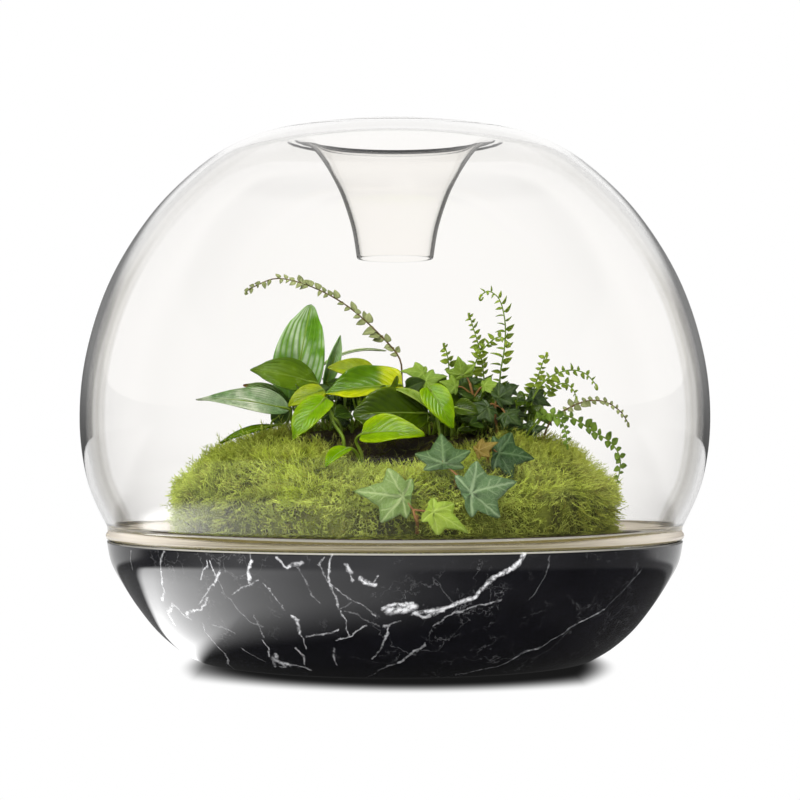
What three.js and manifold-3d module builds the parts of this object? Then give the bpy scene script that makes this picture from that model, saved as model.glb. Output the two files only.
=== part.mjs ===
// A closed plant terrarium: a stone bowl of soil and moss planted with small leafy plants,
// under a blown glass dome whose top is drawn down into an open watering funnel.
// Millimetres, +Z up. The origin is the middle of the bowl's flat base. The front is -Y.

import * as THREE from "three";
import { mergeVertices } from "three/addons/utils/BufferGeometryUtils.js";
import Module from "manifold-3d";

const wasm = await Module();
wasm.setup();

// ---------------------------------------------------------------- driving dimensions

const rimHeight = 64; // stone bowl, base to rim
const rimRadius = 155.8;
const rimInnerRadius = 134;
const baseRadius = 108; // flat circle that the bowl stands on
const bowlFloor = 14; // stone under the soil
const edgeRadius = 1; // small bevels on the stone's edges

const domeRadius = 170.5; // glass, at its widest
const domeWidestHeight = 128;
const domeTop = 286; // highest ring of the glass
const topRingRadius = 56; // where the glass turns over into the funnel
const glassWall = 3;
const footHeight = 5.5; // thick foot of the glass on the stone rim
const footWidth = 8;
const throatRadius = 19; // bore of the funnel's lower end
const throatWall = 2;
const throatHeight = 218; // lower end of the funnel, inside the dome

const moundRadius = 124; // moss, at soil level
const moundFoot = 62;
const moundRise = 64;
const mossDepth = 9; // carpet of moss over the soil
const soilLevel = 60; // ring of bare soil between the moss and the stone

const clearance = 0.3; // gap between pieces that rest on or in each other
const bladeThickness = 0.8;
const rootDepth = 15; // how far a stem goes down below the moss surface
const rootRise = 3; // straight part of a stem above the moss
const stalkRadius = 0.9; // leaf stalks and woody stems
const ribRadius = 0.65; // ribs of the fern fronds

const roundSegments = 36;

// ---------------------------------------------------------------- small helpers

const vec = (x, y, z) => new THREE.Vector3(x, y, z);
const toVec = (point) => vec(...point);
const along = (a, b, share) => a.clone().lerp(b, share);

// A fixed sequence of draws, so that the part is the same each time it is built.
function drawer(seed) {
  let state = seed;
  return () => {
    state = (state * 16807) % 2147483647;
    return state / 2147483647;
  };
}

// A closed mesh geometry as a solid for joining and cutting.
function solid(geometry) {
  const bare = geometry.index ? geometry.toNonIndexed() : geometry.clone();
  bare.deleteAttribute("normal");
  bare.deleteAttribute("uv");
  const merged = mergeVertices(bare, 1e-3);
  return new wasm.Manifold(
    new wasm.Mesh({
      numProp: 3,
      vertProperties: merged.attributes.position.array,
      triVerts: new Uint32Array(merged.index.array),
    }),
  );
}

// The one body that a union leaves, without any loose scrap.
function largest(shape) {
  const bodies = shape.decompose();
  return bodies.reduce((a, b) => (b.volume() > a.volume() ? b : a));
}

const join = (shapes) => shapes.reduce((a, b) => a.add(b));

function geometryOf(shape) {
  const made = shape.getMesh();
  const geometry = new THREE.BufferGeometry();
  geometry.setAttribute("position", new THREE.BufferAttribute(made.vertProperties, 3));
  geometry.setIndex(new THREE.BufferAttribute(made.triVerts, 1));
  geometry.computeVertexNormals();
  return geometry;
}

// A thin sheet as a solid: its faces doubled, with a rim round its open edge.
function thickened(sheet, depth) {
  sheet.deleteAttribute("normal");
  sheet.deleteAttribute("uv");
  const merged = mergeVertices(sheet, 1e-3);
  merged.computeVertexNormals();
  const { position, normal } = merged.attributes;
  const count = position.count;
  const corners = [];
  for (const level of [depth / 2, -depth / 2]) {
    for (let i = 0; i < count; i++) {
      const out = vec(0, 0, 0).fromBufferAttribute(normal, i).multiplyScalar(level);
      corners.push(...vec(0, 0, 0).fromBufferAttribute(position, i).add(out).toArray());
    }
  }
  const faces = [];
  const open = new Map();
  for (let i = 0; i < merged.index.count; i += 3) {
    const [a, b, c] = merged.index.array.slice(i, i + 3);
    if (a === b || b === c || c === a) continue;
    faces.push(a, b, c, a + count, c + count, b + count);
    for (const [from, to] of [[a, b], [b, c], [c, a]]) {
      if (!open.delete(`${to} ${from}`)) open.set(`${from} ${to}`, [from, to]);
    }
  }
  for (const [from, to] of open.values()) {
    faces.push(to, from, from + count, to, from + count, to + count);
  }
  const made = new THREE.BufferGeometry();
  made.setAttribute("position", new THREE.Float32BufferAttribute(corners, 3));
  made.setIndex(faces);
  return made;
}

// A round shape turned about Z from [radius, height] points.
function turned(points, segments = roundSegments) {
  const profile = points.map(([r, z]) => new THREE.Vector2(r, z));
  return new THREE.LatheGeometry(profile, segments).rotateX(Math.PI / 2);
}

// Points along a smooth line through a few [radius, height] points.
function smooth(points, count) {
  const curve = new THREE.SplineCurve(points.map(([r, z]) => new THREE.Vector2(r, z)));
  return curve.getSpacedPoints(count).map((p) => [p.x, p.y]);
}

// The same line moved sideways, to its left as it is drawn.
function offset(points, distance) {
  return points.map((p, i) => {
    const a = points[Math.max(i - 1, 0)];
    const b = points[Math.min(i + 1, points.length - 1)];
    const run = Math.hypot(b[0] - a[0], b[1] - a[1]);
    return [p[0] - ((b[1] - a[1]) / run) * distance, p[1] + ((b[0] - a[0]) / run) * distance];
  });
}

// ---------------------------------------------------------------- materials

const finish = (color, roughness, extra = {}) =>
  new THREE.MeshStandardMaterial({ color, roughness, metalness: 0, ...extra });

const materials = {
  marble: finish(0x17181a, 0.18),
  glass: finish(0xf4f4f2, 0.03, { transparent: true, opacity: 0.3 }),
  soil: finish(0x2a1f16, 0.95),
  moss: finish(0x7c9426, 0.9),
  lily: finish(0x4e8a22, 0.35),
  lilyPale: finish(0x9fb08c, 0.4),
  pothos: finish(0x8fb012, 0.3),
  pothosDeep: finish(0x5a7a10, 0.4),
  ivy: finish(0x4d7d4a, 0.45),
  ivyBright: finish(0x93b52e, 0.45),
  ivyDark: finish(0x23401c, 0.5),
  fern: finish(0x6a8a34, 0.55),
};

// ---------------------------------------------------------------- stone bowl

const bowlInside = smooth(
  [
    [rimInnerRadius, rimHeight - edgeRadius],
    [131, 54],
    [119, 36],
    [98, 22],
    [70, 15.5],
    [45, bowlFloor],
  ],
  5,
);

function bowlShape() {
  const outside = smooth(
    [
      [baseRadius, 0],
      [118.8, 6.6],
      [129.8, 16.4],
      [140.1, 29.5],
      [148.6, 42.7],
      [153.6, 52.5],
      [rimRadius, rimHeight - edgeRadius],
    ],
    8,
  );
  return turned([
    [0, 0],
    ...outside,
    [rimRadius - edgeRadius, rimHeight],
    [rimInnerRadius + edgeRadius, rimHeight],
    ...bowlInside,
    [0, bowlFloor],
  ]);
}

// ---------------------------------------------------------------- glass dome with its funnel

function glassShape() {
  const footBottom = rimHeight + clearance;
  const footTop = footBottom + footHeight;
  const dome = smooth(
    [
      [155, footTop],
      [166, 95],
      [domeRadius, domeWidestHeight],
      [166.9, 165],
      [154.2, 204],
      [132, 240],
      [104.8, 267],
      [82, 280],
      [topRingRadius, domeTop],
    ],
    11,
  );
  const funnel = smooth(
    [
      [topRingRadius, domeTop],
      [44, 279.5],
      [31, 260],
      [22.5, 237],
      [throatRadius, throatHeight],
    ],
    5,
  );
  const funnelUnder = offset(funnel, throatWall).slice(1).reverse();
  const domeUnder = offset(dome, glassWall).slice(1).reverse();
  const lip = [throatRadius + throatWall, throatHeight];
  return turned([
    [rimRadius - 1, footBottom],
    [rimRadius + 0.4, footBottom + footHeight / 2],
    ...dome,
    ...funnel.slice(1),
    lip,
    ...funnelUnder.slice(1),
    ...domeUnder,
    [rimRadius - footWidth + 1, footTop],
    [rimRadius - footWidth, footBottom],
    [rimRadius - 1, footBottom],
  ]);
}

// The glass inside and outside an upright cylinder at the ring where it turns over into the
// funnel. Half the clearance is taken off each body there.
function glassBodies() {
  const glass = solid(glassShape());
  const column = (radius) => solid(turned([[0, 0], [radius, 0], [radius, 2 * domeTop], [0, 2 * domeTop]]));
  return {
    funnel: glass.intersect(column(topRingRadius - clearance / 2)),
    dome: glass.subtract(column(topRingRadius + clearance / 2)),
  };
}

// ---------------------------------------------------------------- mound of soil and moss

// The mound's height above its foot: a bun with a hollow in front, where the leaves hang.
function moundHeight(x, y, radius, rise) {
  const share = Math.min(Math.hypot(x, y) / radius, 1);
  const bun = rise * Math.sqrt(1 - share ** 3.1);
  const hollow = 18 * Math.exp(-((x / 42) ** 2) - ((y + 70) / 34) ** 2);
  return Math.max(bun - hollow * Math.min(1, 4 * (1 - share)), 0);
}

const mossTop = (x, y) => moundFoot + moundHeight(x, y, moundRadius, moundRise);

// Tufted lumps of the moss carpet.
function lumps(x, y) {
  const wide = Math.sin(x / 9 + 1.3 * Math.sin(y / 14)) * Math.sin(y / 8 + x / 23);
  const fine = Math.sin(x / 2.3 + y / 3.1) * Math.sin(y / 2.7 - x / 3.9);
  return 1.8 * wide + 2 * fine;
}

const mossRings = [0, 0.16, 0.32, 0.46, 0.58, 0.7, 0.81, 0.9, 0.955, 0.988, 1];
const soilRings = [0, 0.28, 0.48, 0.64, 0.8, 0.92, 0.98, 1];
const underRadius = moundRadius - mossDepth - 2; // underside of the moss, where it meets the soil

const tuftSwell = 0.008; // how far tufts stand out of the mound's sides, as a share of its radius
const surface = 1; // height that stands for the mound's own in a profile that is then lifted

// A turned shape whose corners are then lifted to the height that a rule gives.
function lifted(profile, heightAt) {
  const geometry = turned(profile);
  const position = geometry.attributes.position;
  for (let i = 0; i < position.count; i++) {
    const [x, y, level] = [position.getX(i), position.getY(i), position.getZ(i)];
    position.setZ(i, heightAt(x, y, level));
  }
  return geometry;
}

// The soil's top under the moss. A drop of more than 0 leaves a gap between the two.
function soilTop(drop) {
  const radius = underRadius - drop;
  const rise = moundRise - mossDepth;
  return {
    rings: soilRings.map((share) => [share * radius, surface]).reverse(),
    heightAt: (x, y, level) =>
      level === surface ? moundFoot + moundHeight(x, y, radius, rise) - drop : level,
  };
}

function mossShape() {
  const over = mossRings.map((share) => [share * moundRadius, surface]).reverse();
  const mound = lifted([[0, moundFoot], [moundRadius, moundFoot], ...over.slice(1)], (x, y, level) => {
    if (level !== surface) return level;
    const edge = Math.min(1, 9 * (1 - Math.hypot(x, y) / moundRadius));
    return mossTop(x, y) + lumps(x, y) * edge;
  });
  const position = mound.attributes.position;
  for (let i = 0; i < position.count; i++) {
    const [x, y, z] = [position.getX(i), position.getY(i), position.getZ(i)];
    const tuft = z > moundFoot + 1 ? 1 + tuftSwell * lumps(y + 2 * z, x - 3 * z) : 1;
    position.setXYZ(i, x * tuft, y * tuft, z);
  }
  const under = soilTop(0);
  const coreFoot = moundFoot - mossDepth;
  const core = lifted([[0, coreFoot], [underRadius, coreFoot], ...under.rings], under.heightAt);
  return solid(mound).subtract(solid(core));
}

function soilShape() {
  const wall = offset(bowlInside, -clearance).slice(1).reverse();
  const [top, next] = bowlInside;
  const share = (top[1] - soilLevel) / (top[1] - next[1]);
  const edge = [top[0] + (next[0] - top[0]) * share - 1.5 * clearance, soilLevel];
  const bare = [moundRadius, moundFoot - clearance];
  const under = soilTop(clearance);
  return solid(lifted([[0, bowlFloor + clearance], ...wall, edge, bare, ...under.rings], under.heightAt));
}

// ---------------------------------------------------------------- stems

// A stem of a few sides along a smooth path.
function stem(points, radius, sides = 5, steps = points.length * 2) {
  const section = new THREE.Shape();
  for (let i = 0; i < sides; i++) {
    const angle = (i / sides) * 2 * Math.PI;
    const [x, y] = [radius * Math.cos(angle), radius * Math.sin(angle)];
    if (i) section.lineTo(x, y);
    else section.moveTo(x, y);
  }
  const path = new THREE.CatmullRomCurve3(points, false, "centripetal");
  return new THREE.ExtrudeGeometry(section, { steps, extrudePath: path, bevelEnabled: false });
}

// The straight foot of a stem: its end down in the soil, and a point just above the moss.
function footPath([x, y], [leanX, leanY] = [0, 0]) {
  const down = vec(-leanX, -leanY, -rootDepth);
  const ground = vec(x, y, mossTop(x, y));
  return [ground.clone().add(down), ground.addScaledVector(down, -rootRise / rootDepth)];
}

const footThickening = 1.25; // a stem's foot beside the stem

const footShape = (foot, radius) => solid(stem(foot, radius * footThickening, 4, 1));

// The plain hole that a stem's foot stands in.
function holeShape([end, above], radius) {
  const deeper = above.clone().sub(end).setLength(clearance).negate().add(end);
  return solid(stem([deeper, above], radius * footThickening + 1.5 * clearance, 4, 1));
}

// The path of a stem that rises from its foot through the points given.
function risingPath(foot, points) {
  return [along(...foot, 0.93), foot[1], ...points];
}

// ---------------------------------------------------------------- broad leaves

const outlines = {
  lance: (v) => Math.sin(Math.PI * v ** 0.8) ** 0.9,
  heart: (v) => Math.sin(Math.PI * v ** 0.62) ** 0.75,
  ovate: (v) => Math.sin(Math.PI * v ** 0.68) ** 0.85,
  strap: (v) => Math.min(1, 6 * v) * (1 - v ** 4) ** 0.8,
  spoon: (v) => Math.sin(Math.PI * v ** 0.9) ** 0.6,
};

// A leaf blade: a flat grid, each corner moved onto the curved leaf. The midrib runs from
// base to tip and rises by arch in the middle, and cup lifts both margins.
function blade(leaf) {
  const { outline = "lance", width, arch = 0, cup = 0, wave = 0, lobes = 0 } = leaf;
  const { across = 4, rows = 6, turns = 1.5 } = leaf;
  const [base, tip, face] = [toVec(leaf.base), toVec(leaf.tip), toVec(leaf.face).normalize()];
  const middle = along(base, tip, 0.5).addScaledVector(face, 2 * arch);
  const rib = new THREE.QuadraticBezierCurve3(base, middle, tip);
  const sheet = new THREE.PlaneGeometry(2, 1, across, rows);
  const position = sheet.attributes.position;
  for (let i = 0; i < position.count; i++) {
    const [u, v] = [position.getX(i), Math.min(Math.max(position.getY(i) + 0.5, 0), 1)];
    const forward = rib.getTangent(v);
    const side = vec(0, 0, 0).crossVectors(forward, face).normalize();
    const up = vec(0, 0, 0).crossVectors(side, forward).normalize();
    const half = (width / 2) * outlines[outline](v);
    const lift = cup * half * u * u + wave * Math.sin(turns * 2 * Math.PI * v + 2 * u) * u * u;
    const back = lobes * width * Math.abs(u) ** 1.5 * (1 - v) ** 3 * Math.min(1, 12 * v);
    const place = rib
      .getPoint(v)
      .addScaledVector(side, half * u)
      .addScaledVector(up, lift * Math.min(1, half))
      .addScaledVector(forward, -back);
    position.setXYZ(i, place.x, place.y, place.z);
  }
  return thickened(sheet, bladeThickness);
}

// A leaf on its own stalk, which stands in the moss.
function leafOnStalk(leaf) {
  const base = toVec(leaf.base);
  const inside = along(base, toVec(leaf.tip), 0.12);
  inside.addScaledVector(toVec(leaf.face).normalize(), 0.4 * (leaf.arch ?? 0));
  const points = [...(leaf.via ?? []).map(toVec), base, inside];
  const foot = footPath(leaf.ground, leaf.lean);
  const stalk = stem(risingPath(foot, points), stalkRadius, 4, points.length + 2);
  return {
    shape: join([footShape(foot, stalkRadius), solid(stalk), solid(blade(leaf))]),
    bore: holeShape(foot, stalkRadius),
  };
}

// ---------------------------------------------------------------- lobed ivy leaves

// [angle from the tip in degrees, reach] round a five-lobed leaf, on one side of its midrib.
const ivyLobes = [
  [0, 1],
  [10, 0.72],
  [28, 0.51],
  [44, 0.57],
  [57, 0.7],
  [75, 0.46],
  [90, 0.34],
  [108, 0.45],
  [150, 0.2],
];

function ivyLeaf({ heart, tip, face, spread = 1, droop = 0.15 }) {
  const [centre, point] = [toVec(heart), toVec(tip)];
  const forward = point.clone().sub(centre);
  const reach = forward.length();
  forward.normalize();
  const side = vec(0, 0, 0).crossVectors(forward, toVec(face)).normalize();
  const up = vec(0, 0, 0).crossVectors(side, forward).normalize();
  const mirrored = ivyLobes.slice(1).map(([angle, share]) => [-angle, share]);
  const outline = [...ivyLobes, ...mirrored.reverse()];
  const count = outline.length;
  const sheet = new THREE.CircleGeometry(1, count);
  const position = sheet.attributes.position;
  for (let i = 0; i < position.count; i++) {
    const [x, y] = [position.getX(i), position.getY(i)];
    const place = centre.clone();
    if (Math.hypot(x, y) > 0.5) {
      const turn = Math.atan2(x, y) / (2 * Math.PI);
      const [angle, share] = outline[(Math.round(turn * count) + count) % count];
      const radians = (angle * Math.PI) / 180;
      place.addScaledVector(forward, reach * share * Math.cos(radians));
      place.addScaledVector(side, reach * share * spread * Math.sin(radians));
      place.addScaledVector(up, -droop * reach * share * share);
    }
    position.setXYZ(i, place.x, place.y, place.z);
  }
  return thickened(sheet, bladeThickness);
}

// A leafy ivy stem: the stem itself, and a stalk and a leaf at each place on it.
function ivyStem(plan) {
  const via = plan.via.map(toVec);
  const foot = footPath(plan.ground, plan.lean);
  const shapes = [footShape(foot, stalkRadius)];
  shapes.push(solid(stem(risingPath(foot, via), stalkRadius, 4, via.length + 3)));
  for (const leaf of plan.leaves) {
    const from = leaf.from ? toVec(leaf.from) : via[via.length - 1];
    const heart = toVec(leaf.heart);
    const bend = along(from, heart, 0.55).add(vec(0, 0, leaf.rise ?? 1.5));
    const inside = along(heart, toVec(leaf.tip), 0.15);
    shapes.push(solid(stem([from, bend, heart, inside], 0.6, 3, 4)));
    shapes.push(solid(ivyLeaf(leaf)));
  }
  return { shape: join(shapes), bore: holeShape(foot, stalkRadius) };
}

// ---------------------------------------------------------------- fern fronds

// A frond: a thin stalk, then one thin blade cut almost to the rib into leaflets, in turn on
// its two sides, and a curled bud at its tip.
function frond(plan) {
  const { pairs, size, first = 0.35, bud = 1.4 } = plan;
  const face = toVec(plan.face).normalize();
  const foot = footPath(plan.ground, plan.lean);
  const path = new THREE.CatmullRomCurve3(risingPath(foot, plan.via.map(toVec)), false, "centripetal");
  const stalkEnd = first + ribRadius / path.getLength();
  const stalk = [0, 0.25, 0.5, 0.75, 1].map((share) => path.getPointAt(share * stalkEnd));
  const shapes = [footShape(foot, ribRadius), solid(stem(stalk, ribRadius, 4, 6))];
  const draw = drawer(plan.seed);
  const reaches = Array.from({ length: pairs + 2 }, () => 0.85 + 0.3 * draw());
  const rows = pairs * 4;
  const sheet = new THREE.PlaneGeometry(2, 1, 2, rows);
  const position = sheet.attributes.position;
  for (let i = 0; i < position.count; i++) {
    const hand = position.getX(i);
    const done = Math.min(Math.max(position.getY(i) + 0.5, 0), 1);
    const row = Math.round(done * rows) + (hand > 0 ? 2 : 0);
    const full = row % 4 === 1 || row % 4 === 2;
    const fade = Math.min(1, 0.5 + 3 * done) * (1 - 0.55 * done ** 1.5);
    const reach = full ? size * fade * reaches[Math.floor(row / 4)] : ribRadius;
    const share = first + (1 - first) * done;
    const forward = path.getTangentAt(share);
    const side = vec(0, 0, 0).crossVectors(forward, face).normalize();
    const up = vec(0, 0, 0).crossVectors(side, forward).normalize();
    const place = path
      .getPointAt(share)
      .addScaledVector(side, reach * hand)
      .addScaledVector(forward, full ? 0.35 * reach * Math.abs(hand) : 0)
      .addScaledVector(up, 0.2 * reach * Math.abs(hand));
    position.setXYZ(i, place.x, place.y, place.z);
  }
  shapes.push(solid(thickened(sheet, bladeThickness)));
  const tip = path.getPointAt(1);
  shapes.push(solid(new THREE.OctahedronGeometry(bud, 0).translate(tip.x, tip.y, tip.z)));
  return { shape: join(shapes), bore: holeShape(foot, ribRadius) };
}

// ---------------------------------------------------------------- planting plan

// Peace lily on the left: one leaf upright, the others leaning out to the left.
const lilyLeaves = {
  lily_leaf_upright: {
    ground: [-54, 20], via: [[-54, 17, 136]], base: [-54.3, 14, 142], tip: [-46.4, 10, 192.5],
    face: [-0.15, -1, 0.2], width: 27, arch: 3, cup: 0.25, rows: 7, outline: "ovate", material: "lily",
  },
  lily_leaf_broad: {
    ground: [-47, 6], via: [[-42, 2, 140]], base: [-42, -2, 148], tip: [-79, -6, 156],
    face: [0.2, -0.85, 0.55], width: 21, arch: 2.5, cup: 0.2, material: "lily",
  },
  lily_leaf_striped: {
    ground: [-53, -8], via: [[-56, -10, 128]], base: [-63, -14, 133], tip: [-107.5, -20, 139.6],
    face: [-0.1, -0.6, 0.8], width: 14, arch: 3.5, cup: 0.3, material: "lilyPale",
  },
  lily_leaf_low: {
    ground: [-60, 8], via: [[-58, 5, 130]], base: [-57, 2, 135], tip: [-83, -2, 148],
    face: [0.1, -0.7, 0.7], width: 13, arch: 2, cup: 0.25, across: 2, material: "lily",
  },
  lily_leaf_rolled: {
    ground: [-45, 16], via: [[-41, 11, 136]], base: [-39, 8, 146], tip: [-30, 6, 175.5],
    face: [0.3, -1, 0.1], width: 7, arch: 1, cup: 0.9, across: 2, material: "lily",
  },
  lily_leaf_creeping: {
    ground: [-60, -16], base: [-65, -18, 125.5], tip: [-93, -30, 116.5],
    face: [0.1, -0.3, 0.95], width: 6, arch: 1.6, cup: 0.3, across: 2, rows: 5, material: "lily",
  },
  lily_leaf_young: {
    ground: [-70, 22], base: [-68.5, 19, 128], tip: [-58.5, 16, 136],
    face: [0.1, -1, 0.2], width: 10, arch: 0.5, cup: 0.2, across: 2, rows: 4, outline: "spoon",
    material: "ivyDark",
  },
};

// Grass-like striped leaf arching behind the others.
const strapLeaves = {
  strap_leaf: {
    ground: [-50, 33], via: [[-49, 32, 146]], base: [-45, 30, 157], tip: [-5, 26, 168],
    face: [-0.25, -0.4, 1], width: 4, arch: 5, cup: 0.2, across: 2, rows: 8, outline: "strap",
    material: "lilyPale",
  },
};

// Golden pothos in the middle.
const pothosLeaves = {
  pothos_leaf_top: {
    ground: [-4, -20], via: [[1, -18, 138]], base: [3, -20, 147.5], tip: [-37, -28, 143],
    face: [0, -0.7, 0.75], width: 24, arch: 2.5, cup: 0.5, wave: 1, lobes: 0.15,
    rows: 8, outline: "heart", material: "pothos",
  },
  pothos_leaf_back: {
    ground: [-14, 0], via: [[-12, 1, 142]], base: [-11, 1, 153], tip: [-37, 0, 157.5],
    face: [0, -0.75, 0.65], width: 15, arch: 1.5, cup: 0.3, outline: "heart", material: "pothos",
  },
  pothos_leaf_hanging: {
    ground: [16, -28], via: [[20, -34, 129]], base: [16, -44, 134.5], tip: [-20, -52, 129],
    face: [-0.1, -1, 0.35], width: 24, arch: 2.5, cup: 0.2, wave: 0.8, lobes: 0.1,
    rows: 8, outline: "heart", material: "pothosDeep",
  },
  pothos_leaf_front: {
    ground: [-17, -62], via: [[-20, -62, 118]], base: [-18.5, -65, 127], tip: [15.5, -72, 119],
    face: [0, -0.85, 0.5], width: 22, arch: 3, cup: 0.15, wave: 0.6, lobes: 0.12,
    rows: 8, outline: "heart", material: "pothos",
  },
  pothos_leaf_rim: {
    ground: [25, -26], via: [[24, -28, 131]], base: [20, -31, 134], tip: [0.5, -34, 144],
    face: [0.6, -0.55, 0.6], width: 7, arch: 2.5, cup: 0.2, across: 2, rows: 5, outline: "spoon",
    material: "pothos",
  },
  pothos_leaf_right: {
    ground: [24, -50], via: [[21, -48, 134]], base: [17, -52, 145.5], tip: [30, -60, 123],
    face: [0.15, -1, 0.3], width: 15, arch: 3, cup: 0.15, wave: 0.5, lobes: 0.12,
    outline: "heart", material: "pothos",
  },
  pothos_leaf_small: {
    ground: [30, -36], via: [[30, -37, 126]], base: [31.5, -40, 134.5], tip: [44, -42, 131.5],
    face: [0, -0.8, 0.6], width: 11, arch: 1, cup: 0.4, across: 2, rows: 5, outline: "heart",
    material: "pothosDeep",
  },
  pothos_leaf_yellow: {
    ground: [-29, -30], via: [[-34, -27, 132]], base: [-38, -26, 144], tip: [-57, -30, 135.5],
    face: [-0.3, -0.8, 0.55], width: 13, arch: 2.5, cup: 0.1, lobes: 0.1, outline: "heart",
    material: "pothos",
  },
  pothos_leaf_left: {
    ground: [-27, -48], via: [[-33, -43, 128]], base: [-36, -41, 139.5], tip: [-53, -54, 117.5],
    face: [-0.35, -1, 0.45], width: 17, arch: 3.5, cup: 0.15, wave: 0.6, lobes: 0.12,
    rows: 8, outline: "heart", material: "pothos",
  },
  pothos_leaf_dropping: {
    ground: [-17, -80], via: [[-20, -89, 112]], base: [-23, -94, 113.5], tip: [-34, -108, 104.5],
    face: [-0.3, -0.8, 0.6], width: 9, arch: 2, cup: 0.3, across: 2, rows: 5, outline: "heart",
    material: "pothos",
  },
};

// Ivy: two stems over the front of the moss, and leafy stems standing up behind them.
const ivyStems = {
  ivy_front: {
    ground: [11, -121], lean: [0, -8], via: [[10.5, -129, 79], [9, -128, 84]],
    leaves: [
      { heart: [4, -126, 90], tip: [-19.5, -127, 93.5], face: [0, -1, 0.3], rise: 0 },
      { heart: [18.5, -129, 83], tip: [36, -130, 74], face: [0.1, -1, 0.3], rise: 0, spread: 0.8 },
    ],
    material: "ivyBright",
  },
  ivy_right: {
    ground: [30, -107], lean: [0, -8], via: [[32, -118, 99], [34, -122, 94]],
    leaves: [
      { heart: [37, -123, 91.7], tip: [61, -114, 98.5], face: [0.15, -1, 0.35], rise: 0 },
      { from: [31.7, -116, 99.3], heart: [24, -113, 106], tip: [23, -104, 122], face: [0, -1, 0.5],
        rise: 0, spread: 1.3 },
    ],
    material: "ivy",
  },
  ivy_far: {
    ground: [47, -82], lean: [0, -5], via: [[49, -90, 114], [50, -92, 112]],
    leaves: [
      { heart: [52, -92, 111], tip: [71, -88, 109], face: [0.1, -1, 0.4], rise: 0, spread: 1.1 },
      { from: [49, -90, 114], heart: [42, -94, 112], tip: [51, -96, 117], face: [0, -0.8, 0.6], rise: 0 },
    ],
    material: "ivy",
  },
  ivy_tall: {
    ground: [40, -22], via: [[42, -24, 138], [40, -25, 148]],
    leaves: [
      { heart: [36, -27, 152.5], tip: [33.5, -30, 162], face: [-0.2, -1, 0.5], spread: 1.4 },
      { from: [41, -24, 142], heart: [32, -29, 146], tip: [24, -32, 149], face: [0, -1, 0.5], spread: 1.2 },
      { from: [42, -24, 140], heart: [48, -25, 146.5], tip: [57, -27, 148], face: [0.2, -0.9, 0.6] },
    ],
    material: "ivyBright",
  },
  ivy_pale: {
    ground: [15, -9], via: [[16, -8, 140], [16, -8, 148]],
    leaves: [
      { heart: [15, -8, 154], tip: [3, -9, 156], face: [0, -0.8, 0.7], spread: 1.1 },
      { heart: [17, -12, 150], tip: [28, -14, 153], face: [0, -0.8, 0.6] },
    ],
    material: "ivyBright",
  },
  ivy_shaded: {
    ground: [54, -34], via: [[53, -35, 130], [53, -35, 136]],
    leaves: [
      { heart: [55, -37, 140], tip: [65, -39, 147], face: [0.1, -0.9, 0.5], spread: 1.1 },
      { heart: [49, -40, 134.5], tip: [40, -44, 127], face: [0, -1, 0.4], spread: 1.1 },
      { heart: [58.5, -40, 131], tip: [67, -44, 125], face: [0.1, -1, 0.4], spread: 1.1 },
    ],
    material: "ivyDark",
  },
};

const towardsViewer = [0, -1, 0.25];

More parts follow.
